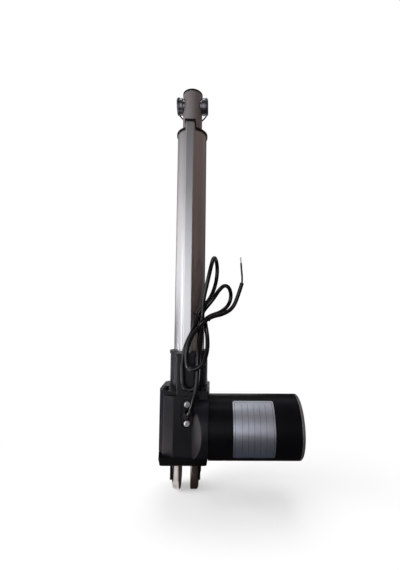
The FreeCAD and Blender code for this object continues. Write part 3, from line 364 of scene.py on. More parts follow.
ON_FLOOR = FLOOR_LEVEL + CARD_LIFT
OVER_FLOOR = FLOOR_LEVEL + 2 * CARD_LIFT
CEILING_TONE = shade(130, 127, 128)
BACK_TONE = shade(60, 58, 60)
SIDE_LOW, SIDE_HIGH = shade(54, 42, 41), shade(122, 103, 101)
CORNER_LOW, CORNER_HIGH = shade(36, 30, 30), shade(138, 125, 125)
LEFT_LOW, LEFT_HIGH = (1.5, 1.5, 1.56, 1), shade(132, 123, 123)
FLOOR_BROWN = shade(50, 40, 36)
FLOOR_SIDE = shade(92, 78, 74)
FLOOR_GREY = shade(32, 32, 36)
FRONT_DARK = (0.03, 0.03, 0.04, 1)
BEVEL_WARM = (2.6, 2.2, 2.05, 1)
WINDOW_LIGHT = (3.0, 3.08, 3.25, 1)
LAMP_LIGHT = (4.8, 4.8, 5.0, 1)
FRONT_LIGHT = (1.45, 1.48, 1.56, 1)
FRONT_BRIGHT = (2.2, 2.27, 2.42, 1)
FACET_WARM = (3.8, 3.3, 3.1, 1)
CABLE_LIGHT = (13.0, 13.2, 13.8, 1)
CARDS = [
    # name, centre, the way it faces, width, height, tone of its lower edge, tone of its upper edge
    ("right_card", (0.8, -0.5, 0.5), (-1, 0, 0), 1.4, 2.2, SIDE_LOW, SIDE_HIGH),
    ("right_corner", (0.8, 0.8, 0.5), (-1, 0, 0), 1.2, 2.2, CORNER_LOW, CORNER_HIGH),
    ("front_right", (0.53, -0.9, 0.5), (0, 1, 0), 0.84, 2.2, SIDE_LOW, SIDE_HIGH),
    ("front_card", (-0.02, -0.9, 0.5), (0, 1, 0), 0.26, 0.7, FRONT_LIGHT, FRONT_DARK),
    ("front_left", (-0.725, -0.9, 0.5), (0, 1, 0), 1.15, 0.7, FRONT_BRIGHT, FRONT_DARK),
    ("front_low", (-0.595, -0.9, 0.075), (0, 1, 0), 1.41, 0.15, FRONT_LIGHT, FRONT_LIGHT),
    ("front_top", (-0.595, -0.9, 1.175), (0, 1, 0), 1.41, 0.65, FRONT_DARK, FRONT_DARK),
    ("left_card", (-0.9, -0.2, 0.65), (1, 0, 0), 2.2, 0.9, LEFT_LOW, LEFT_HIGH),
    ("left_low", (-0.9, -0.2, 0.095), (1, 0, 0), 2.2, 0.21, FLOOR_GREY, FLOOR_GREY),
    ("left_top", (-0.9, -0.2, 1.2), (1, 0, 0), 2.2, 0.2, LEFT_HIGH, LEFT_HIGH),
    ("ceiling_card", (0, -0.35, 1.3), (0, 0, -1), 2.0, 1.4, CEILING_TONE, CEILING_TONE),
    ("back_card", (0, 0.9, 0.9), (0, -1, 0), 2.4, 0.9, BACK_TONE, BACK_TONE),
    ("back_left", (-0.725, 0.9, 0.2186), (0, -1, 0), 0.95, 0.4628, BACK_TONE, BACK_TONE),
    ("back_right", (0.7, 0.9, 0.2186), (0, -1, 0), 1.0, 0.4628, BACK_TONE, BACK_TONE),
    ("floor_right", (0.096, -0.19, ON_FLOOR), (0, 0, 1), 0.208, 0.62, FLOOR_BROWN, FLOOR_BROWN),
    ("floor_beyond", (0.5, -0.125, ON_FLOOR), (0, 0, 1), 0.6, 1.15, FLOOR_SIDE, FLOOR_SIDE),
    ("floor_behind", (0.085, 0.27, ON_FLOOR), (0, 0, 1), 0.23, 0.3, FLOOR_BROWN, FLOOR_BROWN),
    ("floor_left", (-0.104, -0.2925, ON_FLOOR), (0, 0, 1), 0.192, 0.415, FLOOR_GREY, FLOOR_GREY),
    ("floor_far", (-0.54, 0.05, ON_FLOOR), (0, 0, 1), 0.74, 0.8, FLOOR_GREY, FLOOR_GREY),
    ("bevel_glow", (-0.13, -0.06, OVER_FLOOR), (0, 0, 1), 0.1, 0.09, BEVEL_WARM, BEVEL_WARM),
    ("floor_back", (-0.1, 0.1675, ON_FLOOR), (0, 0, 1), 0.14, 0.505, FLOOR_GREY, FLOOR_GREY),
    ("facet_glow", (-0.17, 0.005, OVER_FLOOR), (0, 0, 1), 0.15, 0.07, FACET_WARM, FACET_WARM),
    ("strip_flag", (-0.0625, 0.005, 0.044), (0, -1, 0), 0.065, 0.112, FLOOR_GREY, FLOOR_GREY),
    ("cable_glint", (-0.6, 0.0, OVER_FLOOR), (0, 0, 1), 0.5, 0.12, CABLE_LIGHT, CABLE_LIGHT),
    ("window_card", (-0.75, -0.5, 0.21), (0.83, 0.55, 0), 0.24, 0.42, WINDOW_LIGHT, WINDOW_LIGHT),
    ("lamp_card", (-0.12, -0.12, 1.28), (0, 0, -1), 0.3, 0.3, LAMP_LIGHT, LAMP_LIGHT),
]
for card in CARDS:
    reflection_card(*card)
print("reflection cards:", len(CARDS))

# %% [markdown]
# ## Shared surface effects
#
# Moulded and metal surfaces are never one flat tone, and their edges are never quite sharp. Both could be
# painted on maps, but noise and the shape itself give them without any. Two small groups serve every
# finish: a grain mask from noise, and a soft edge that rounds sharp edges in the shading and gives a mask
# where they are rubbed.

# %% Shared surface effects
GRAIN_DETAIL, GRAIN_ROUGHNESS = 4.0, 0.6
GRAIN_LOW, GRAIN_HIGH = 0.32, 0.68
EDGE_SAMPLES = 6
EDGE_FLAT, EDGE_RUBBED = 0.99, 0.80


def new_group(name, inputs, outputs):
    tree = bpy.data.node_groups.new(name, "ShaderNodeTree")
    for label, kind in inputs:
        tree.interface.new_socket(name=label, in_out="INPUT", socket_type=kind)
    for label, kind in outputs:
        tree.interface.new_socket(name=label, in_out="OUTPUT", socket_type=kind)
    return tree, add_node(tree, "NodeGroupInput"), add_node(tree, "NodeGroupOutput")


def make_grain_group():
    tree, entry, leave = new_group(
        "surface_grain", [("Vector", "NodeSocketVector"), ("Scale", "NodeSocketFloat")],
        [("Mask", "NodeSocketFloat")])
    noise = add_node(tree, "ShaderNodeTexNoise")
    noise.inputs["Detail"].default_value = GRAIN_DETAIL
    noise.inputs["Roughness"].default_value = GRAIN_ROUGHNESS
    spread = add_node(tree, "ShaderNodeMapRange")
    spread.inputs["From Min"].default_value = GRAIN_LOW
    spread.inputs["From Max"].default_value = GRAIN_HIGH
    tree.links.new(entry.outputs["Vector"], noise.inputs["Vector"])
    tree.links.new(entry.outputs["Scale"], noise.inputs["Scale"])
    tree.links.new(noise.outputs["Fac"], spread.inputs["Value"])
    tree.links.new(spread.outputs["Result"], leave.inputs["Mask"])
    return tree


def make_edge_group():
    tree, entry, leave = new_group(
        "soft_edge", [("Radius", "NodeSocketFloat")],
        [("Normal", "NodeSocketVector"), ("Mask", "NodeSocketFloat")])
    bevel = add_node(tree, "ShaderNodeBevel", samples=EDGE_SAMPLES)
    here = add_node(tree, "ShaderNodeNewGeometry")
    agree = add_node(tree, "ShaderNodeVectorMath", operation="DOT_PRODUCT")
    rub = add_node(tree, "ShaderNodeMapRange")
    rub.inputs["From Min"].default_value = EDGE_FLAT
    rub.inputs["From Max"].default_value = EDGE_RUBBED
    tree.links.new(entry.outputs["Radius"], bevel.inputs["Radius"])
    tree.links.new(bevel.outputs["Normal"], agree.inputs[0])
    tree.links.new(here.outputs["Normal"], agree.inputs[1])
    tree.links.new(agree.outputs["Value"], rub.inputs["Value"])
    tree.links.new(bevel.outputs["Normal"], leave.inputs["Normal"])
    tree.links.new(rub.outputs["Result"], leave.inputs["Mask"])
    return tree


grain_group = make_grain_group()
edge_group = make_edge_group()
print("groups:", grain_group.name, edge_group.name)

# %% [markdown]
# ## One recipe for all finishes
#
# Each finish could have its own nodes, but one recipe is enough here. Two tones are mixed by a broad cloud
# and a fine grain, and the same mix sets the roughness. The grain gives a little relief, and edges take
# their own tone.

# %% One recipe for all finishes
EVEN = (1, 1, 1)
GRAIN_SHARE = 0.4


def surface_finish(name, dark, light, rough, grain, bump, edge_tone, edge_radius, metal=0.0, stretch=EVEN,
                   cloud=45.0, specular=0.5):
    """A finish from two tones, a roughness range, a fine grain and softened, rubbed edges.

    grain and cloud are noise scales per metre, stretch pulls the grain along an axis, bump is its height."""
    material, tree, surface = new_material(name)
    link = tree.links.new
    coords = add_node(tree, "ShaderNodeTexCoord")
    pulled = add_node(tree, "ShaderNodeVectorMath", operation="MULTIPLY")
    pulled.inputs[1].default_value = stretch
    fine = add_node(tree, "ShaderNodeGroup", node_tree=grain_group)
    fine.inputs["Scale"].default_value = grain
    broad = add_node(tree, "ShaderNodeGroup", node_tree=grain_group)
    broad.inputs["Scale"].default_value = cloud
    edge = add_node(tree, "ShaderNodeGroup", node_tree=edge_group)
    edge.inputs["Radius"].default_value = edge_radius
    tone = add_node(tree, "ShaderNodeMix", data_type="RGBA")
    tone.inputs["A"].default_value = dark
    tone.inputs["B"].default_value = light
    rubbed = add_node(tree, "ShaderNodeMix", data_type="RGBA")
    rubbed.inputs["B"].default_value = edge_tone
    polish = add_node(tree, "ShaderNodeMapRange")
    polish.inputs["To Min"].default_value = rough[0]
    polish.inputs["To Max"].default_value = rough[1]
    relief = add_node(tree, "ShaderNodeBump")
    relief.inputs["Strength"].default_value = 1.0
    relief.inputs["Distance"].default_value = bump
    both = add_node(tree, "ShaderNodeMath", operation="MULTIPLY_ADD")
    both.inputs[1].default_value = GRAIN_SHARE
    link(coords.outputs["Object"], pulled.inputs[0])
    link(pulled.outputs["Vector"], fine.inputs["Vector"])
    link(coords.outputs["Object"], broad.inputs["Vector"])
    link(fine.outputs["Mask"], both.inputs[0])
    link(broad.outputs["Mask"], both.inputs[2])
    link(both.outputs[0], tone.inputs["Factor"])
    link(tone.outputs["Result"], rubbed.inputs["A"])
    link(edge.outputs["Mask"], rubbed.inputs["Factor"])
    link(rubbed.outputs["Result"], surface.inputs["Base Color"])
    link(both.outputs[0], polish.inputs["Value"])
    link(polish.outputs["Result"], surface.inputs["Roughness"])
    link(fine.outputs["Mask"], relief.inputs["Height"])
    link(edge.outputs["Normal"], relief.inputs["Normal"])
    link(relief.outputs["Normal"], surface.inputs["Normal"])
    surface.inputs["Metallic"].default_value = metal
    surface.inputs["Specular IOR Level"].default_value = specular
    return material


print("finish recipe ready")

# %% [markdown]
# ## Black plastics and rubber
#
# Housing, neck and cover are glass-filled nylon. The mould was spark-eroded, so the skin is finely grained
# and satin, a little lighter where edges are rubbed. The caps have less gloss, and the cable's PVC is the
# smoothest. The two tones of each lie close together, so that the black stays even.

# %% Black plastics and rubber
housing_black = surface_finish(
    "housing_black", shade(8, 8, 15), shade(12, 12, 19), rough=(0.34, 0.46), grain=2400.0, bump=0.015 * MM,
    edge_tone=shade(40, 39, 40), edge_radius=0.5 * MM, specular=0.3)
cover_black = surface_finish(
    "cover_black", shade(4, 4, 5), shade(7, 7, 8), rough=(0.4, 0.5), grain=2400.0, bump=0.015 * MM,
    edge_tone=shade(18, 17, 18), edge_radius=0.4 * MM, specular=0.08)
cap_black = surface_finish(
    "cap_black", shade(8, 8, 9), shade(14, 13, 14), rough=(0.36, 0.48), grain=2400.0, bump=0.02 * MM,
    edge_tone=shade(24, 23, 24), edge_radius=0.3 * MM, specular=0.15)
cable_black = surface_finish(
    "cable_black", shade(3, 3, 4), shade(6, 6, 7), rough=(0.16, 0.22), grain=1500.0, bump=0.004 * MM,
    edge_tone=shade(8, 8, 9), edge_radius=0.05 * MM, cloud=90.0, specular=0.45)
seal_rubber = surface_finish(
    "seal_rubber", shade(16, 16, 16), shade(28, 27, 27), rough=(0.6, 0.8), grain=1800.0, bump=0.02 * MM,
    edge_tone=shade(36, 35, 35), edge_radius=0.2 * MM)
switch_black = surface_finish(
    "switch_black", shade(24, 24, 25), shade(36, 36, 37), rough=(0.4, 0.55), grain=2400.0, bump=0.02 * MM,
    edge_tone=shade(60, 60, 60), edge_radius=0.2 * MM)
cable.data.materials.append(cable_black)
print("black finishes made")

# %% [markdown]
# ## Motor
#
# The can is drawn steel under black paint. Sprayed paint dries with a faint orange-peel surface and looks
# deep black from the front. A clear coat could stand for the paint, but it would shine too much, so the
# gloss is weak and the grain coarse. The end cap is a grey die casting with a slightly rough skin.

# %% Motor
motor_black = surface_finish(
    "motor_black", shade(4, 4, 7), shade(7, 7, 10), rough=(0.3, 0.4), grain=900.0, bump=0.01 * MM,
    edge_tone=shade(22, 21, 22), edge_radius=0.5 * MM, specular=0.12)
motor_grey = surface_finish(
    "motor_grey", shade(104, 103, 102), shade(132, 131, 130), rough=(0.4, 0.6), metal=0.85, grain=1400.0,
    bump=0.05 * MM, edge_tone=shade(184, 183, 182), edge_radius=0.4 * MM)
print("motor finishes made")

# %% [markdown]
# ## Tube, rod and plated steel
#
# The tube is a satin anodised extrusion, and the die leaves faint lines along it: the grain is pulled out
# along Z. The rod is ground and polished, so its marks run round it: the grain is squeezed along Z. Ears,
# bush and screws are zinc plated, cloudy and brighter at the edges.

# %% Tube, rod and plated steel
tube_aluminium = surface_finish(
    "tube_aluminium", shade(198, 197, 196), shade(206, 205, 204), rough=(0.32, 0.37), metal=1.0,
    grain=900.0, stretch=(1, 1, 0.012), bump=0.001 * MM, edge_tone=shade(226, 226, 226),
    edge_radius=0.4 * MM, cloud=14.0)
rod_steel = surface_finish(
    "rod_steel", shade(162, 156, 154), shade(172, 166, 164), rough=(0.44, 0.52), metal=1.0, grain=260.0,
    stretch=(0.12, 0.12, 6.0), bump=0.003 * MM, edge_tone=shade(186, 180, 178), edge_radius=0.3 * MM,
    cloud=20.0)
ear_steel = surface_finish(
    "ear_steel", shade(160, 152, 148), shade(214, 209, 207), rough=(0.1, 0.2), metal=1.0, grain=300.0,
    stretch=(1, 1, 0.15), bump=0.01 * MM, edge_tone=shade(226, 224, 223), edge_radius=0.4 * MM, cloud=70.0)
bush_steel = surface_finish(
    "bush_steel", shade(102, 101, 106), shade(124, 123, 128), rough=(0.26, 0.34), metal=1.0, grain=500.0,
    stretch=(4, 0.3, 0.3), bump=0.001 * MM, edge_tone=shade(132, 131, 136), edge_radius=0.3 * MM,
    cloud=60.0)
wire_steel = surface_finish(
    "wire_steel", shade(78, 77, 80), shade(102, 101, 104), rough=(0.26, 0.34), metal=1.0, grain=900.0,
    bump=0.001 * MM, edge_tone=shade(108, 107, 110), edge_radius=0.1 * MM, cloud=60.0)
black_zinc = surface_finish(
    "black_zinc", shade(20, 20, 22), shade(32, 32, 34), rough=(0.3, 0.42), metal=0.6, grain=900.0,
    bump=0.01 * MM, edge_tone=shade(52, 52, 54), edge_radius=0.2 * MM)
zinc = surface_finish(
    "zinc", shade(204, 202, 199), shade(230, 229, 228), rough=(0.26, 0.4), metal=0.7, grain=700.0,
    bump=0.02 * MM, edge_tone=shade(236, 236, 236), edge_radius=0.35 * MM, cloud=70.0)
bearing_steel = surface_finish(
    "bearing_steel", shade(168, 169, 171), shade(206, 207, 209), rough=(0.14, 0.26), metal=1.0, grain=900.0,
    bump=0.008 * MM, edge_tone=shade(230, 230, 232), edge_radius=0.25 * MM)
tinned = surface_finish(
    "tinned", shade(196, 192, 186), shade(222, 220, 216), rough=(0.24, 0.36), metal=1.0, grain=1600.0,
    bump=0.02 * MM, edge_tone=shade(232, 231, 228), edge_radius=0.1 * MM)
print("metal finishes made")

# %% [markdown]
# ## Inside the actuator
#
# The inner pieces never see daylight, yet each has its own stuff: sintered bronze, enamelled copper wire,
# dark ferrite, carbon, ivory nylon and a green board. They could stay plain, but a cutaway would show it,
# and the recipe only needs other tones.

# %% Inside the actuator
bronze = surface_finish(
    "bronze", shade(142, 104, 58), shade(176, 134, 80), rough=(0.3, 0.46), metal=1.0, grain=1500.0,
    bump=0.03 * MM, edge_tone=shade(206, 166, 108), edge_radius=0.3 * MM)
copper = surface_finish(
    "copper", shade(128, 62, 34), shade(176, 92, 54), rough=(0.22, 0.36), metal=1.0, grain=420.0,
    stretch=(0.05, 1, 1), bump=0.12 * MM, edge_tone=shade(198, 120, 78), edge_radius=0.3 * MM)
ferrite = surface_finish(
    "ferrite", shade(42, 42, 44), shade(58, 58, 60), rough=(0.55, 0.75), grain=1100.0, bump=0.04 * MM,
    edge_tone=shade(80, 80, 82), edge_radius=0.4 * MM)
carbon = surface_finish(
    "carbon", shade(30, 30, 31), shade(46, 46, 48), rough=(0.45, 0.65), metal=0.2, grain=1900.0,
    bump=0.04 * MM, edge_tone=shade(66, 66, 68), edge_radius=0.2 * MM)
nylon = surface_finish(
    "nylon", shade(214, 208, 190), shade(228, 223, 208), rough=(0.34, 0.5), grain=1300.0, bump=0.02 * MM,
    edge_tone=shade(238, 234, 222), edge_radius=0.3 * MM)
board_green = surface_finish(
    "board_green", shade(22, 74, 48), shade(34, 98, 64), rough=(0.3, 0.42), grain=900.0,
    stretch=(1, 1, 0.2), bump=0.02 * MM, edge_tone=shade(120, 140, 96), edge_radius=0.1 * MM)
print("inner finishes made")

# %% [markdown]
# ## Dress the solids
#
# Each solid keeps its mesh and only takes a finish. One table names what each piece is made of, so that
# pieces of the same stuff look alike. Solids that a modelled piece stands for later are in it too.

# %% Dress the solids
DRESS = {
    "gear_housing": housing_black, "tube_socket": housing_black, "rear_cover": cover_black,
    "cable_clamp": housing_black, "tube_end_cap": cap_black, "rod_end_cap": cap_black,
    "rod_wiper": seal_rubber, "rear_clevis": ear_steel, "front_bush": bush_steel, "keeper_bail": wire_steel,
    "housing_screws": zinc, "socket_screws": black_zinc, "clamp_screws": zinc, "motor_bolts": zinc,
    "outer_tube": tube_aluminium, "rod_tube": rod_steel, "motor_can": motor_black,
    "motor_end_cap": motor_grey, "motor_magnets": ferrite, "brush_holder": switch_black,
    "carbon_brushes": carbon, "motor_rear_bearing": bearing_steel, "worm_bearing": bearing_steel,
    "lower_screw_bearing": bearing_steel, "upper_screw_bearing": bearing_steel, "worm_tip_bush": bronze,
    "drive_nut": nylon, "rod_guide": nylon, "worm_wheel": nylon, "switch_board": board_green,
    "limit_switches": switch_black, "motor_shaft": bearing_steel, "worm": bearing_steel,
    "armature_core": bearing_steel, "armature_windings": copper, "commutator": copper,
    "lead_screw": bearing_steel, "screw_end_stop": bearing_steel, "core_wires": cable_black,
    "core_tips": tinned, "cable_tie": cap_black, "power_cord": cable_black, "cord_hank": cable_black,
    "cord_tail": cable_black,
}
for name, finish in DRESS.items():
    solid = nodes[name]
    if not solid.material_slots:
        solid.data.materials.append(finish)
    for place in solid.material_slots:
        place.material = finish
print("dressed", len(DRESS), "of", len(nodes), "solids")

# %% [markdown]
# ## Pick and shape
#
# Each added piece starts from a primitive and is shaped with plain edit-mode tools. Its points could be
# written into the mesh instead, but a tool says what is done to the shape. The helpers pick a piece, settle
# its transform into its mesh and choose faces or points.

# %% Pick and shape

def pick(piece):
    bpy.ops.object.select_all(action="DESELECT")
    piece.select_set(True)
    bpy.context.view_layer.objects.active = piece


def settle(piece):
    """Puts a piece's place, turn and size into its mesh."""
    pick(piece)
    bpy.ops.object.transform_apply(location=True, rotation=True, scale=True)


def edit_faces(piece, test):
    """Opens edit mode with only the faces selected that pass the test."""
    pick(piece)
    bpy.ops.object.mode_set(mode="EDIT")
    bpy.ops.mesh.select_mode(type="FACE")
    bpy.ops.mesh.select_all(action="DESELECT")
    bpy.ops.object.mode_set(mode="OBJECT")
    for face in piece.data.polygons:
        face.select = test(face)
    bpy.ops.object.mode_set(mode="EDIT")


def edit_points(piece, test):
    """Opens edit mode with only the points selected that pass the test."""
    pick(piece)
    bpy.ops.object.mode_set(mode="EDIT")
    bpy.ops.mesh.select_mode(type="VERT")
    bpy.ops.mesh.select_all(action="DESELECT")
    bpy.ops.object.mode_set(mode="OBJECT")
    for point in piece.data.vertices:
        point.select = test(point.co)
    bpy.ops.object.mode_set(mode="EDIT")


def leave_edit():
    bpy.ops.object.mode_set(mode="OBJECT")


print("shaping helpers ready")

# %% [markdown]
# ## Cut, clean and join
#
# A cut can leave doubled points, and a join can mix normals, so each piece is cleaned when it is done. The
# helpers apply a modifier, cut one piece with another, clean the result and join copies. The last one lets
# a finished piece stand for its plain solid.

# %% Cut, clean and join
SMOOTH_ANGLE = math.radians(35)
TINY = 0.001 * MM


def apply_modifier(piece, kind, **settings):
    pick(piece)
    modifier = piece.modifiers.new(kind.lower(), kind)
    for key, value in settings.items():
        setattr(modifier, key, value)
    bpy.ops.object.modifier_apply(modifier=modifier.name)


def cut(piece, cutter):
    """Takes the cutter's shape out of the piece."""
    apply_modifier(piece, "BOOLEAN", operation="DIFFERENCE", solver="EXACT", object=cutter)
    bpy.data.objects.remove(cutter)


def clean(piece):
    """Merges doubled points, turns all faces outwards and smooths all but the sharp edges."""
    pick(piece)
    bpy.ops.object.mode_set(mode="EDIT")
    bpy.ops.mesh.select_all(action="SELECT")
    bpy.ops.mesh.remove_doubles(threshold=TINY)
    bpy.ops.mesh.normals_make_consistent(inside=False)
    leave_edit()
    bpy.ops.object.shade_smooth_by_angle(angle=SMOOTH_ANGLE)


def join(pieces, name):
    bpy.ops.object.select_all(action="DESELECT")
    for piece in pieces:
        piece.select_set(True)
    bpy.context.view_layer.objects.active = pieces[0]
    bpy.ops.object.join()
    pieces[0].name = name
    return pieces[0]


def stand_in(piece, node, body, finish):
    """Gives a piece its finish and lets it stand for a plain solid."""
    piece.data.materials.clear()
    piece.data.materials.append(finish)
    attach(piece, body)
    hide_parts(node)


print("cutting helpers ready")

# %% [markdown]
# ## Screw heads
#
# A pan head is cold-formed: a short cylinder whose top edge is rounded over, with a tapered recess for the
# driver. It could be turned from an outline, but a cylinder with a bevelled top is quicker. Two tapered
# wings are cut out for a cross recess, and a hexagon for a socket. A face counts as facing an axis when most
# of its normal points along it.

# %% Screw heads
FACING = 0.9
WING_TAPER = (0.5, 0.7, 1)


def plain_screw(name, head, height, rounding, shank, reach):
    """A screw that points up, with its head's foot on the origin and a plain shank below."""
    bpy.ops.object.select_all(action="DESELECT")
    bpy.ops.mesh.primitive_cylinder_add(vertices=48, radius=head, depth=height, location=(0, 0, height / 2))
    screw = bpy.context.active_object
    screw.name = name
    settle(screw)
    edit_faces(screw, lambda face: face.normal.z > FACING)
    bpy.ops.mesh.bevel(offset=rounding, segments=6, affect="EDGES")
    leave_edit()
    edit_faces(screw, lambda face: face.normal.z < -FACING)
    bpy.ops.mesh.inset(thickness=head - shank)
    bpy.ops.mesh.extrude_region_move(TRANSFORM_OT_translate={"value": (0, 0, -reach)})
    leave_edit()
    return screw


def cross_recess(screw, top, reach, width, depth):
    """Two wings that narrow towards their floor, cut into the top of a head."""
    for turn in (0, math.pi / 2):
        bpy.ops.object.select_all(action="DESELECT")
        bpy.ops.mesh.primitive_cube_add(size=2, location=(0, 0, top))
        wing = bpy.context.active_object
        wing.scale = (reach, width / 2, depth)
        settle(wing)
        edit_faces(wing, lambda face: face.normal.z < -FACING)
        bpy.ops.transform.resize(value=WING_TAPER)
        leave_edit()
        wing.rotation_euler = (0, 0, turn)
        settle(wing)
        cut(screw, wing)


def hex_recess(screw, top, radius, depth):
    bpy.ops.object.select_all(action="DESELECT")
    bpy.ops.mesh.primitive_cylinder_add(vertices=6, radius=radius, depth=2 * depth, location=(0, 0, top))
    key = bpy.context.active_object
    settle(key)
    cut(screw, key)


def set_out(model, places, turn, name):
    """Copies a model to each place, each copy with its own mesh, and joins the copies."""
    copies = []
    for place in places:
        pick(model)
        bpy.ops.object.duplicate(linked=False)
        copy = bpy.context.active_object
        copy.rotation_euler = turn
        copy.location = place
        settle(copy)
        copies.append(copy)
    bpy.data.objects.remove(model)
    whole = join(copies, name)
    clean(whole)
    return whole


print("screw makers ready")

# %% [markdown]
# ## Screws in their places
#
# The clamp, the rear cover and the motor are held by cross-recessed heads, and the neck by blackened socket
# heads. Each screw could be modelled where it sits, but one of each kind is enough: its copies are set out
# where the solids have theirs, and the solids' box gives the reach of the shank.

# %% Screws in their places
CLAMP_HEAD_HEIGHT = 1.8 * MM
CLAMP_SCREW_TURN = math.radians(20)
MOTOR_HEAD_HEIGHT = 1.58 * MM
COVER_SCREWS = [(-16.5, -26.3), (16.8, -26.3), (11.3, 21.5), (-16.5, 21.5)]
NECK_SCREWS = [(-21.5, -20.0), (16.8, -26.3), (16.69, 16.69), (-16.69, 16.69)]
SCREW_HEAD, SCREW_HEIGHT, SCREW_SHANK = 3.1 * MM, 2.8 * MM, 1.75 * MM


def make_clamp_screws():
    low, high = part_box("clamp_screws")
    head, height = (high.x - low.x) / 2, CLAMP_HEAD_HEIGHT
    foot = low.y + height
    model = plain_screw("clamp_screw", head, height, rounding=0.9 * MM, shank=1.5 * MM, reach=high.y - foot)
    cross_recess(model, height, reach=1.6 * MM, width=0.75 * MM, depth=1.0 * MM)
    middle = (low.x + high.x) / 2
    places = [(middle, foot, low.z + head), (middle, foot, high.z - head)]
    return set_out(model, places, (math.pi / 2, 0, CLAMP_SCREW_TURN), "clamp_screw_heads")


def make_motor_screws():
    low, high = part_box("motor_bolts")
    head, height = (high.z - low.z) / 2, MOTOR_HEAD_HEIGHT
    foot = high.x - height
    model = plain_screw("motor_screw", head, height, rounding=0.6 * MM, shank=1.6 * MM, reach=foot - low.x)
    cross_recess(model, height, reach=1.9 * MM, width=0.8 * MM, depth=1.0 * MM)
    middle = (low.z + high.z) / 2
    places = [(foot, low.y + head, middle), (foot, high.y - head, middle)]
    return set_out(model, places, (0, math.pi / 2, 0), "motor_screw_heads")


def make_cover_screws():
    low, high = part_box("housing_screws")
    foot = low.z + SCREW_HEIGHT
    model = plain_screw("cover_screw", SCREW_HEAD, SCREW_HEIGHT, rounding=1.0 * MM, shank=SCREW_SHANK,
                        reach=high.z - foot)
    cross_recess(model, SCREW_HEIGHT, reach=1.8 * MM, width=0.8 * MM, depth=1.2 * MM)
    places = [(x * MM, y * MM, foot) for x, y in COVER_SCREWS]
    return set_out(model, places, (math.pi, 0, 0), "cover_screw_heads")


def make_neck_screws():
    low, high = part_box("socket_screws")
    foot = high.z - SCREW_HEIGHT
    model = plain_screw("neck_screw", SCREW_HEAD, SCREW_HEIGHT, rounding=0.3 * MM, shank=SCREW_SHANK,
                        reach=foot - low.z)
    hex_recess(model, SCREW_HEIGHT, radius=1.7 * MM, depth=1.5 * MM)
    places = [(x * MM, y * MM, foot) for x, y in NECK_SCREWS]
    return set_out(model, places, (0, 0, 0), "neck_screw_heads")


stand_in(make_clamp_screws(), "clamp_screws", "housing", zinc)
stand_in(make_motor_screws(), "motor_bolts", "housing", zinc)
stand_in(make_cover_screws(), "housing_screws", "housing", zinc)
stand_in(make_neck_screws(), "socket_screws", "housing", black_zinc)
print("screws: 2 clamp, 2 motor, 4 cover, 4 neck")

# %% [markdown]
# ## Clevis fork
#
# The ears at the foot are forged with the bridge above them, and their edges are rounded over, more on the
# outer side than towards the gap. An ear is a disc whose upper half is cut away and whose cut face is
# pulled up, so the rounding runs along the whole outline in one go. Two ears are then joined to the bridge
# and bored through.

# %% Clevis fork
EAR_THICKNESS = 8.0 * MM
EAR_GAP = 10.6 * MM
EAR_TOP = 28.0 * MM
BRIDGE_FOOT = 26.0 * MM
FLANGE_THICKNESS = 4.0 * MM
FLANGE_LIP = 3.5 * MM
OUTER_ROUND = 2.4 * MM
INNER_ROUND = 0.5 * MM
EAR_BORE = 5.1 * MM
FLAT_ANGLE = math.radians(1)


def cross_bar(radius, length, centre):
    """A round bar along X."""
    bpy.ops.object.select_all(action="DESELECT")
    bpy.ops.mesh.primitive_cylinder_add(vertices=96, radius=radius, depth=length, location=centre,
                                        rotation=(0, math.pi / 2, 0))
    bar = bpy.context.active_object
    settle(bar)
    return bar


def make_ear(centre, side, radius):
    ear = cross_bar(radius, EAR_THICKNESS, (centre, 0, 0))
    edit_points(ear, lambda co: True)
    bpy.ops.mesh.bisect(plane_co=(0, 0, 0), plane_no=(0, 0, 1), use_fill=True, clear_outer=True)
    leave_edit()
    edit_faces(ear, lambda face: face.normal.z > FACING)
    bpy.ops.mesh.extrude_region_move(TRANSFORM_OT_translate={"value": (0, 0, EAR_TOP)})
    bpy.ops.mesh.select_all(action="SELECT")
    bpy.ops.mesh.dissolve_limited(angle_limit=FLAT_ANGLE)
    leave_edit()
    for way, rounding in ((side, OUTER_ROUND), (-side, INNER_ROUND)):
        edit_faces(ear, lambda face: face.normal.x * way > FACING)
        bpy.ops.mesh.bevel(offset=rounding, segments=5, affect="EDGES")
        leave_edit()
    return ear


def make_fork():
    low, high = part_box("rear_clevis")
    middle = (low.x + high.x) / 2
    bpy.ops.object.select_all(action="DESELECT")
    bpy.ops.mesh.primitive_cube_add(size=1, location=(middle, 0, high.z - FLANGE_THICKNESS / 2))
    fork = bpy.context.active_object
    fork.name = "clevis_fork"
    fork.scale = (high.x - low.x, high.y - low.y, FLANGE_THICKNESS)
    settle(fork)
    edit_faces(fork, lambda face: face.normal.z < -FACING)
    bpy.ops.mesh.inset(thickness=FLANGE_LIP)
    drop = high.z - FLANGE_THICKNESS - BRIDGE_FOOT
    bpy.ops.mesh.extrude_region_move(TRANSFORM_OT_translate={"value": (0, 0, -drop)})
    leave_edit()
    for side in (-1, 1):
        ear = make_ear(middle + side * (EAR_GAP + EAR_THICKNESS) / 2, side, -low.z)
        apply_modifier(fork, "BOOLEAN", operation="UNION", solver="EXACT", object=ear)
        bpy.data.objects.remove(ear)
    cut(fork, cross_bar(EAR_BORE, 2 * (high.x - low.x), (middle, 0, 0)))
    clean(fork)
    return fork


fork = make_fork()
stand_in(fork, "rear_clevis", "housing", ear_steel)
print("clevis fork", len(fork.data.polygons), "faces")

# %% [markdown]
# ## Label plate
#
# A silver foil plate is stuck round the front of the motor can, with a blue tint towards its foot. It is
# left bare but for a border and empty ruled lines. A flat plate with rounded corners is cut into strips,
# bent to the can's radius and turned into place, so its map keeps its proportions.

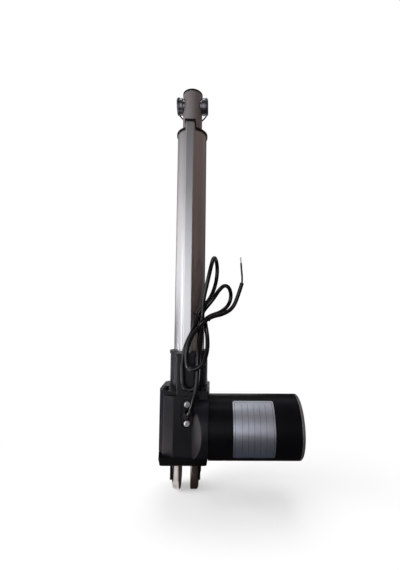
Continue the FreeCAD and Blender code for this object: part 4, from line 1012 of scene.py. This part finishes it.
# %% Label plate
LABEL_WIDTH = 39.2 * MM
LABEL_START = 45.8 * MM
LABEL_ANGLES = (-43.0, 63.5)
LABEL_THICKNESS = 0.15 * MM
LABEL_CORNER = 2.0 * MM
LABEL_STRIPS = 48


def make_label():
    low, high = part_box("motor_can")
    radius = (high.z - low.z) / 2
    axis_y, axis_z = (low.y + high.y) / 2, (low.z + high.z) / 2
    arc = math.radians(LABEL_ANGLES[1] - LABEL_ANGLES[0])
    height = radius * arc
    bpy.ops.object.select_all(action="DESELECT")
    bpy.ops.mesh.primitive_plane_add(size=1)
    label = bpy.context.active_object
    label.name = "label_plate"
    label.scale = (LABEL_WIDTH, height, 1)
    settle(label)
    label.rotation_euler = (math.pi / 2, 0, 0)
    settle(label)
    edit_points(label, lambda co: True)
    bpy.ops.mesh.bevel(offset=LABEL_CORNER, segments=5, affect="VERTICES")
    for step in range(1, LABEL_STRIPS):
        bpy.ops.mesh.select_all(action="SELECT")
        level = height * (step / LABEL_STRIPS - 0.5)
        bpy.ops.mesh.bisect(plane_co=(0, 0, level), plane_no=(0, 0, 1))
    leave_edit()
    apply_modifier(label, "SIMPLE_DEFORM", deform_method="BEND", deform_axis="X", angle=arc)
    apply_modifier(label, "SOLIDIFY", thickness=LABEL_THICKNESS, offset=1.0)
    label.location = (0, -radius, 0)
    settle(label)
    label.rotation_euler = (-math.radians(sum(LABEL_ANGLES) / 2), 0, 0)
    settle(label)
    label.location = (LABEL_START + LABEL_WIDTH / 2, axis_y, axis_z)
    settle(label)
    clean(label)
    return label


label = make_label()
print("label plate", len(label.data.polygons), "faces")

# %% [markdown]
# ## Label finish
#
# The print on the foil could be a picture, but then it would need a file. Its border and lines are simple
# enough to be worked out from the plate's own map: how far a point lies from the nearest edge, and where it
# lies in a row. The map is taken to be about as large as the plate, in millimetres.

# %% Label finish
MAP_WIDTH, MAP_HEIGHT = 42.0, 58.0
HALF = 0.5
BORDER_PLACE, BORDER_HALF = 1.8, 0.2
RULED_ROWS, RULE_HALF, RULE_MARGIN = 7.0, 0.025, 4.5
FOIL_CLOUD = 120.0
TINT_TOP = 0.5
FOIL_DARK, FOIL_LIGHT = shade(190, 195, 206), shade(200, 204, 214)
FOIL_BLUE, PRINT_GREY = shade(162, 184, 214), shade(92, 94, 98)
FOIL_ROUGHNESS, FOIL_METAL = 0.4, 0.95


def make_label_finish():
    """Satin silver with a border and ruled lines, drawn from the distance to the plate's edges."""
    material, tree, surface = new_material("label_silver")
    link = tree.links.new

    def calc(operation, *values):
        node = add_node(tree, "ShaderNodeMath", operation=operation)
        for socket, value in zip(node.inputs, values):
            if isinstance(value, (int, float)):
                socket.default_value = value
            else:
                link(value, socket)
        return node.outputs[0]

    chart = add_node(tree, "ShaderNodeUVMap")
    parts = add_node(tree, "ShaderNodeSeparateXYZ")
    link(chart.outputs["UV"], parts.inputs[0])
    across = calc("MULTIPLY", calc("PINGPONG", parts.outputs["X"], HALF), MAP_WIDTH)
    along = calc("MULTIPLY", calc("PINGPONG", parts.outputs["Y"], HALF), MAP_HEIGHT)
    inset = calc("MINIMUM", across, along)
    border = calc("COMPARE", inset, BORDER_PLACE, BORDER_HALF)
    in_row = calc("FRACT", calc("MULTIPLY", parts.outputs["X"], RULED_ROWS))
    rows = calc("COMPARE", in_row, HALF, RULE_HALF)
    ruled = calc("MULTIPLY", rows, calc("GREATER_THAN", inset, RULE_MARGIN))
    coords = add_node(tree, "ShaderNodeTexCoord")
    cloud = add_node(tree, "ShaderNodeGroup", node_tree=grain_group)
    cloud.inputs["Scale"].default_value = FOIL_CLOUD
    link(coords.outputs["Object"], cloud.inputs["Vector"])
    foil = add_node(tree, "ShaderNodeMix", data_type="RGBA")
    foil.inputs["A"].default_value = FOIL_DARK
    foil.inputs["B"].default_value = FOIL_LIGHT
    link(cloud.outputs["Mask"], foil.inputs["Factor"])
    fall = add_node(tree, "ShaderNodeMapRange", interpolation_type="SMOOTHSTEP")
    fall.inputs["From Min"].default_value = TINT_TOP
    fall.inputs["From Max"].default_value = 0.0
    link(parts.outputs["Y"], fall.inputs["Value"])
    tint = add_node(tree, "ShaderNodeMix", data_type="RGBA")
    tint.inputs["B"].default_value = FOIL_BLUE
    link(fall.outputs["Result"], tint.inputs["Factor"])
    link(foil.outputs["Result"], tint.inputs["A"])
    print_tone = add_node(tree, "ShaderNodeMix", data_type="RGBA")
    print_tone.inputs["B"].default_value = PRINT_GREY
    link(calc("MAXIMUM", border, ruled), print_tone.inputs["Factor"])
    link(tint.outputs["Result"], print_tone.inputs["A"])
    link(print_tone.outputs["Result"], surface.inputs["Base Color"])
    surface.inputs["Roughness"].default_value = FOIL_ROUGHNESS
    surface.inputs["Metallic"].default_value = FOIL_METAL
    return material


label.data.materials.append(make_label_finish())
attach(label, "housing")
print("label finish", label.active_material.name)

# %% [markdown]
# ## Tie
#
# The hank is held by a twist tie, a coated wire ribbon. A curve could be wound round the strands, but a
# torus is simpler: it is drawn apart into an oblong and widened into a ribbon. A short bar, twisted on
# itself, makes the end that shows on the left.

# %% Tie
TIE_CENTRE = Vector((15.4, -25.6, 166.0)) * MM
TIE_TILT = math.radians(23.6)
TIE_HALF = 2.9 * MM
TIE_RADIUS = 5.0 * MM
TIE_THICK = 0.45 * MM
RIBBON_STRETCH = 1.7
TIE_TAIL = 3.0 * MM
TAIL_THICK, TAIL_WIDE = 0.6 * MM, 1.3 * MM
TAIL_STEPS = 12
TAIL_TWIST = 1.5 * math.pi
TAIL_ROUND = 0.15 * MM
TAIL_SINK = 0.3 * MM


def make_ribbon():
    """A ring drawn apart into an oblong and widened into a ribbon."""
    bpy.ops.object.select_all(action="DESELECT")
    bpy.ops.mesh.primitive_torus_add(major_radius=TIE_RADIUS, minor_radius=TIE_THICK, major_segments=48,
                                     minor_segments=12)
    ring = bpy.context.active_object
    for side in (1, -1):
        edit_points(ring, lambda co: co.x * side > TINY)
        bpy.ops.transform.translate(value=(side * TIE_HALF, 0, 0))
        leave_edit()
    ring.scale = (1, 1, RIBBON_STRETCH)
    settle(ring)
    return ring


def make_tail():
    """A short flat bar, twisted on itself, at the ribbon's left end."""
    bpy.ops.object.select_all(action="DESELECT")
    bpy.ops.mesh.primitive_cube_add(size=1)
    tail = bpy.context.active_object
    tail.scale = (TAIL_THICK, TAIL_WIDE, TIE_TAIL)
    settle(tail)
    for step in range(1, TAIL_STEPS):
        edit_points(tail, lambda co: True)
        level = TIE_TAIL * (step / TAIL_STEPS - 0.5)
        bpy.ops.mesh.bisect(plane_co=(0, 0, level), plane_no=(0, 0, 1))
        leave_edit()
    apply_modifier(tail, "SIMPLE_DEFORM", deform_method="TWIST", deform_axis="Z", angle=TAIL_TWIST)
    apply_modifier(tail, "BEVEL", width=TAIL_ROUND, segments=2)
    tail.rotation_euler = (0, math.pi / 2, 0)
    tail.location = (-TIE_HALF - TIE_RADIUS - TIE_TAIL / 2 + TAIL_SINK, 0, 0)
    settle(tail)
    return tail


def make_tie():
    tie = join([make_ribbon(), make_tail()], "twist_tie")
    tie.rotation_euler = (0, TIE_TILT, 0)
    tie.location = TIE_CENTRE
    settle(tie)
    clean(tie)
    return tie


tie = make_tie()
stand_in(tie, "cable_tie", "housing", cap_black)
print("tie", len(tie.data.polygons), "faces")

# %% [markdown]
# ## Lead screw
#
# The screw is turned from bar: a journal with a thrust collar, then a trapezoid thread of 4 mm pitch. The
# bar is a cylinder whose end is pulled up step by step. A bump map could fake the thread, but it would look
# flat in a cutaway, so one flank outline is swept round the bar.

# %% Lead screw
SCREW_PITCH = 4.0 * MM
SCREW_TOP_R = 6.0 * MM
SCREW_ROOT_R = 4.6 * MM
JOURNAL_R = 5.95 * MM
COLLAR_R = 8.5 * MM
THREAD_SINK = 0.1 * MM
RIDGE_HALF = 1.3 * MM
FLANK_TAPER = 0.5
THREAD_STEPS = 24
BAR_STEPS = [(24.0, COLLAR_R), (3.5, JOURNAL_R), (8.5, SCREW_ROOT_R)]


def make_screw_bar(low, high):
    """A journal, a collar, a second journal and the thread's core, each pulled up from the one below."""
    height = BAR_STEPS[0][0] * MM
    bpy.ops.object.select_all(action="DESELECT")
    bpy.ops.mesh.primitive_cylinder_add(vertices=48, radius=JOURNAL_R, depth=height,
                                        location=(0, 0, low.z + height / 2))
    bar = bpy.context.active_object
    settle(bar)
    edit_faces(bar, lambda face: face.normal.z > FACING)
    radius, top = JOURNAL_R, low.z + height
    for index, (_, wide) in enumerate(BAR_STEPS):
        bpy.ops.mesh.extrude_region_move(TRANSFORM_OT_translate={"value": (0, 0, 0)})
        bpy.ops.transform.resize(value=(wide / radius, wide / radius, 1), center_override=(0, 0, top))
        last = index + 1 == len(BAR_STEPS)
        rise = high.z - top if last else BAR_STEPS[index + 1][0] * MM
        bpy.ops.mesh.extrude_region_move(TRANSFORM_OT_translate={"value": (0, 0, rise)})
        radius, top = wide, top + rise
    leave_edit()
    return bar


def make_thread(low, high):
    """One flank outline swept round the core, closed at both ends."""
    thread_start = low.z + sum(rise for rise, _ in BAR_STEPS) * MM
    turns = int((high.z - thread_start) / SCREW_PITCH) - 1
    bpy.ops.object.select_all(action="DESELECT")
    bpy.ops.mesh.primitive_plane_add(size=2)
    ridge = bpy.context.active_object
    ridge.rotation_euler = (math.pi / 2, 0, 0)
    ridge.scale = ((SCREW_TOP_R - SCREW_ROOT_R) / 2 + THREAD_SINK, RIDGE_HALF, 1)
    ridge.location = ((SCREW_TOP_R + SCREW_ROOT_R) / 2 - THREAD_SINK, 0, thread_start + SCREW_PITCH / 2)
    settle(ridge)
    edit_points(ridge, lambda co: co.x > SCREW_TOP_R - THREAD_SINK)
    bpy.ops.transform.resize(value=(1, 1, FLANK_TAPER))
    bpy.ops.mesh.select_all(action="SELECT")
    bpy.ops.mesh.delete(type="ONLY_FACE")
    leave_edit()
    apply_modifier(ridge, "SCREW", angle=2 * math.pi, screw_offset=SCREW_PITCH, iterations=turns,
                   steps=THREAD_STEPS, render_steps=THREAD_STEPS)
    pick(ridge)
    bpy.ops.object.mode_set(mode="EDIT")
    bpy.ops.mesh.select_mode(type="VERT")
    bpy.ops.mesh.select_all(action="DESELECT")
    bpy.ops.mesh.select_non_manifold()
    bpy.ops.mesh.fill()
    leave_edit()
    return ridge


def make_lead_screw():
    low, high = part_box("lead_screw")
    screw = join([make_screw_bar(low, high), make_thread(low, high)], "threaded_screw")
    clean(screw)
    return screw


lead_screw = make_lead_screw()
stand_in(lead_screw, "lead_screw", "screw", bearing_steel)
print("lead screw", len(lead_screw.data.polygons), "faces")

# %% [markdown]

# %% [markdown]
# ## Last step
#
# Colours are shown as they are written.

# %% Last step
scene = bpy.context.scene
scene.view_settings.view_transform = "Standard"
print("colours shown as", scene.view_settings.view_transform)
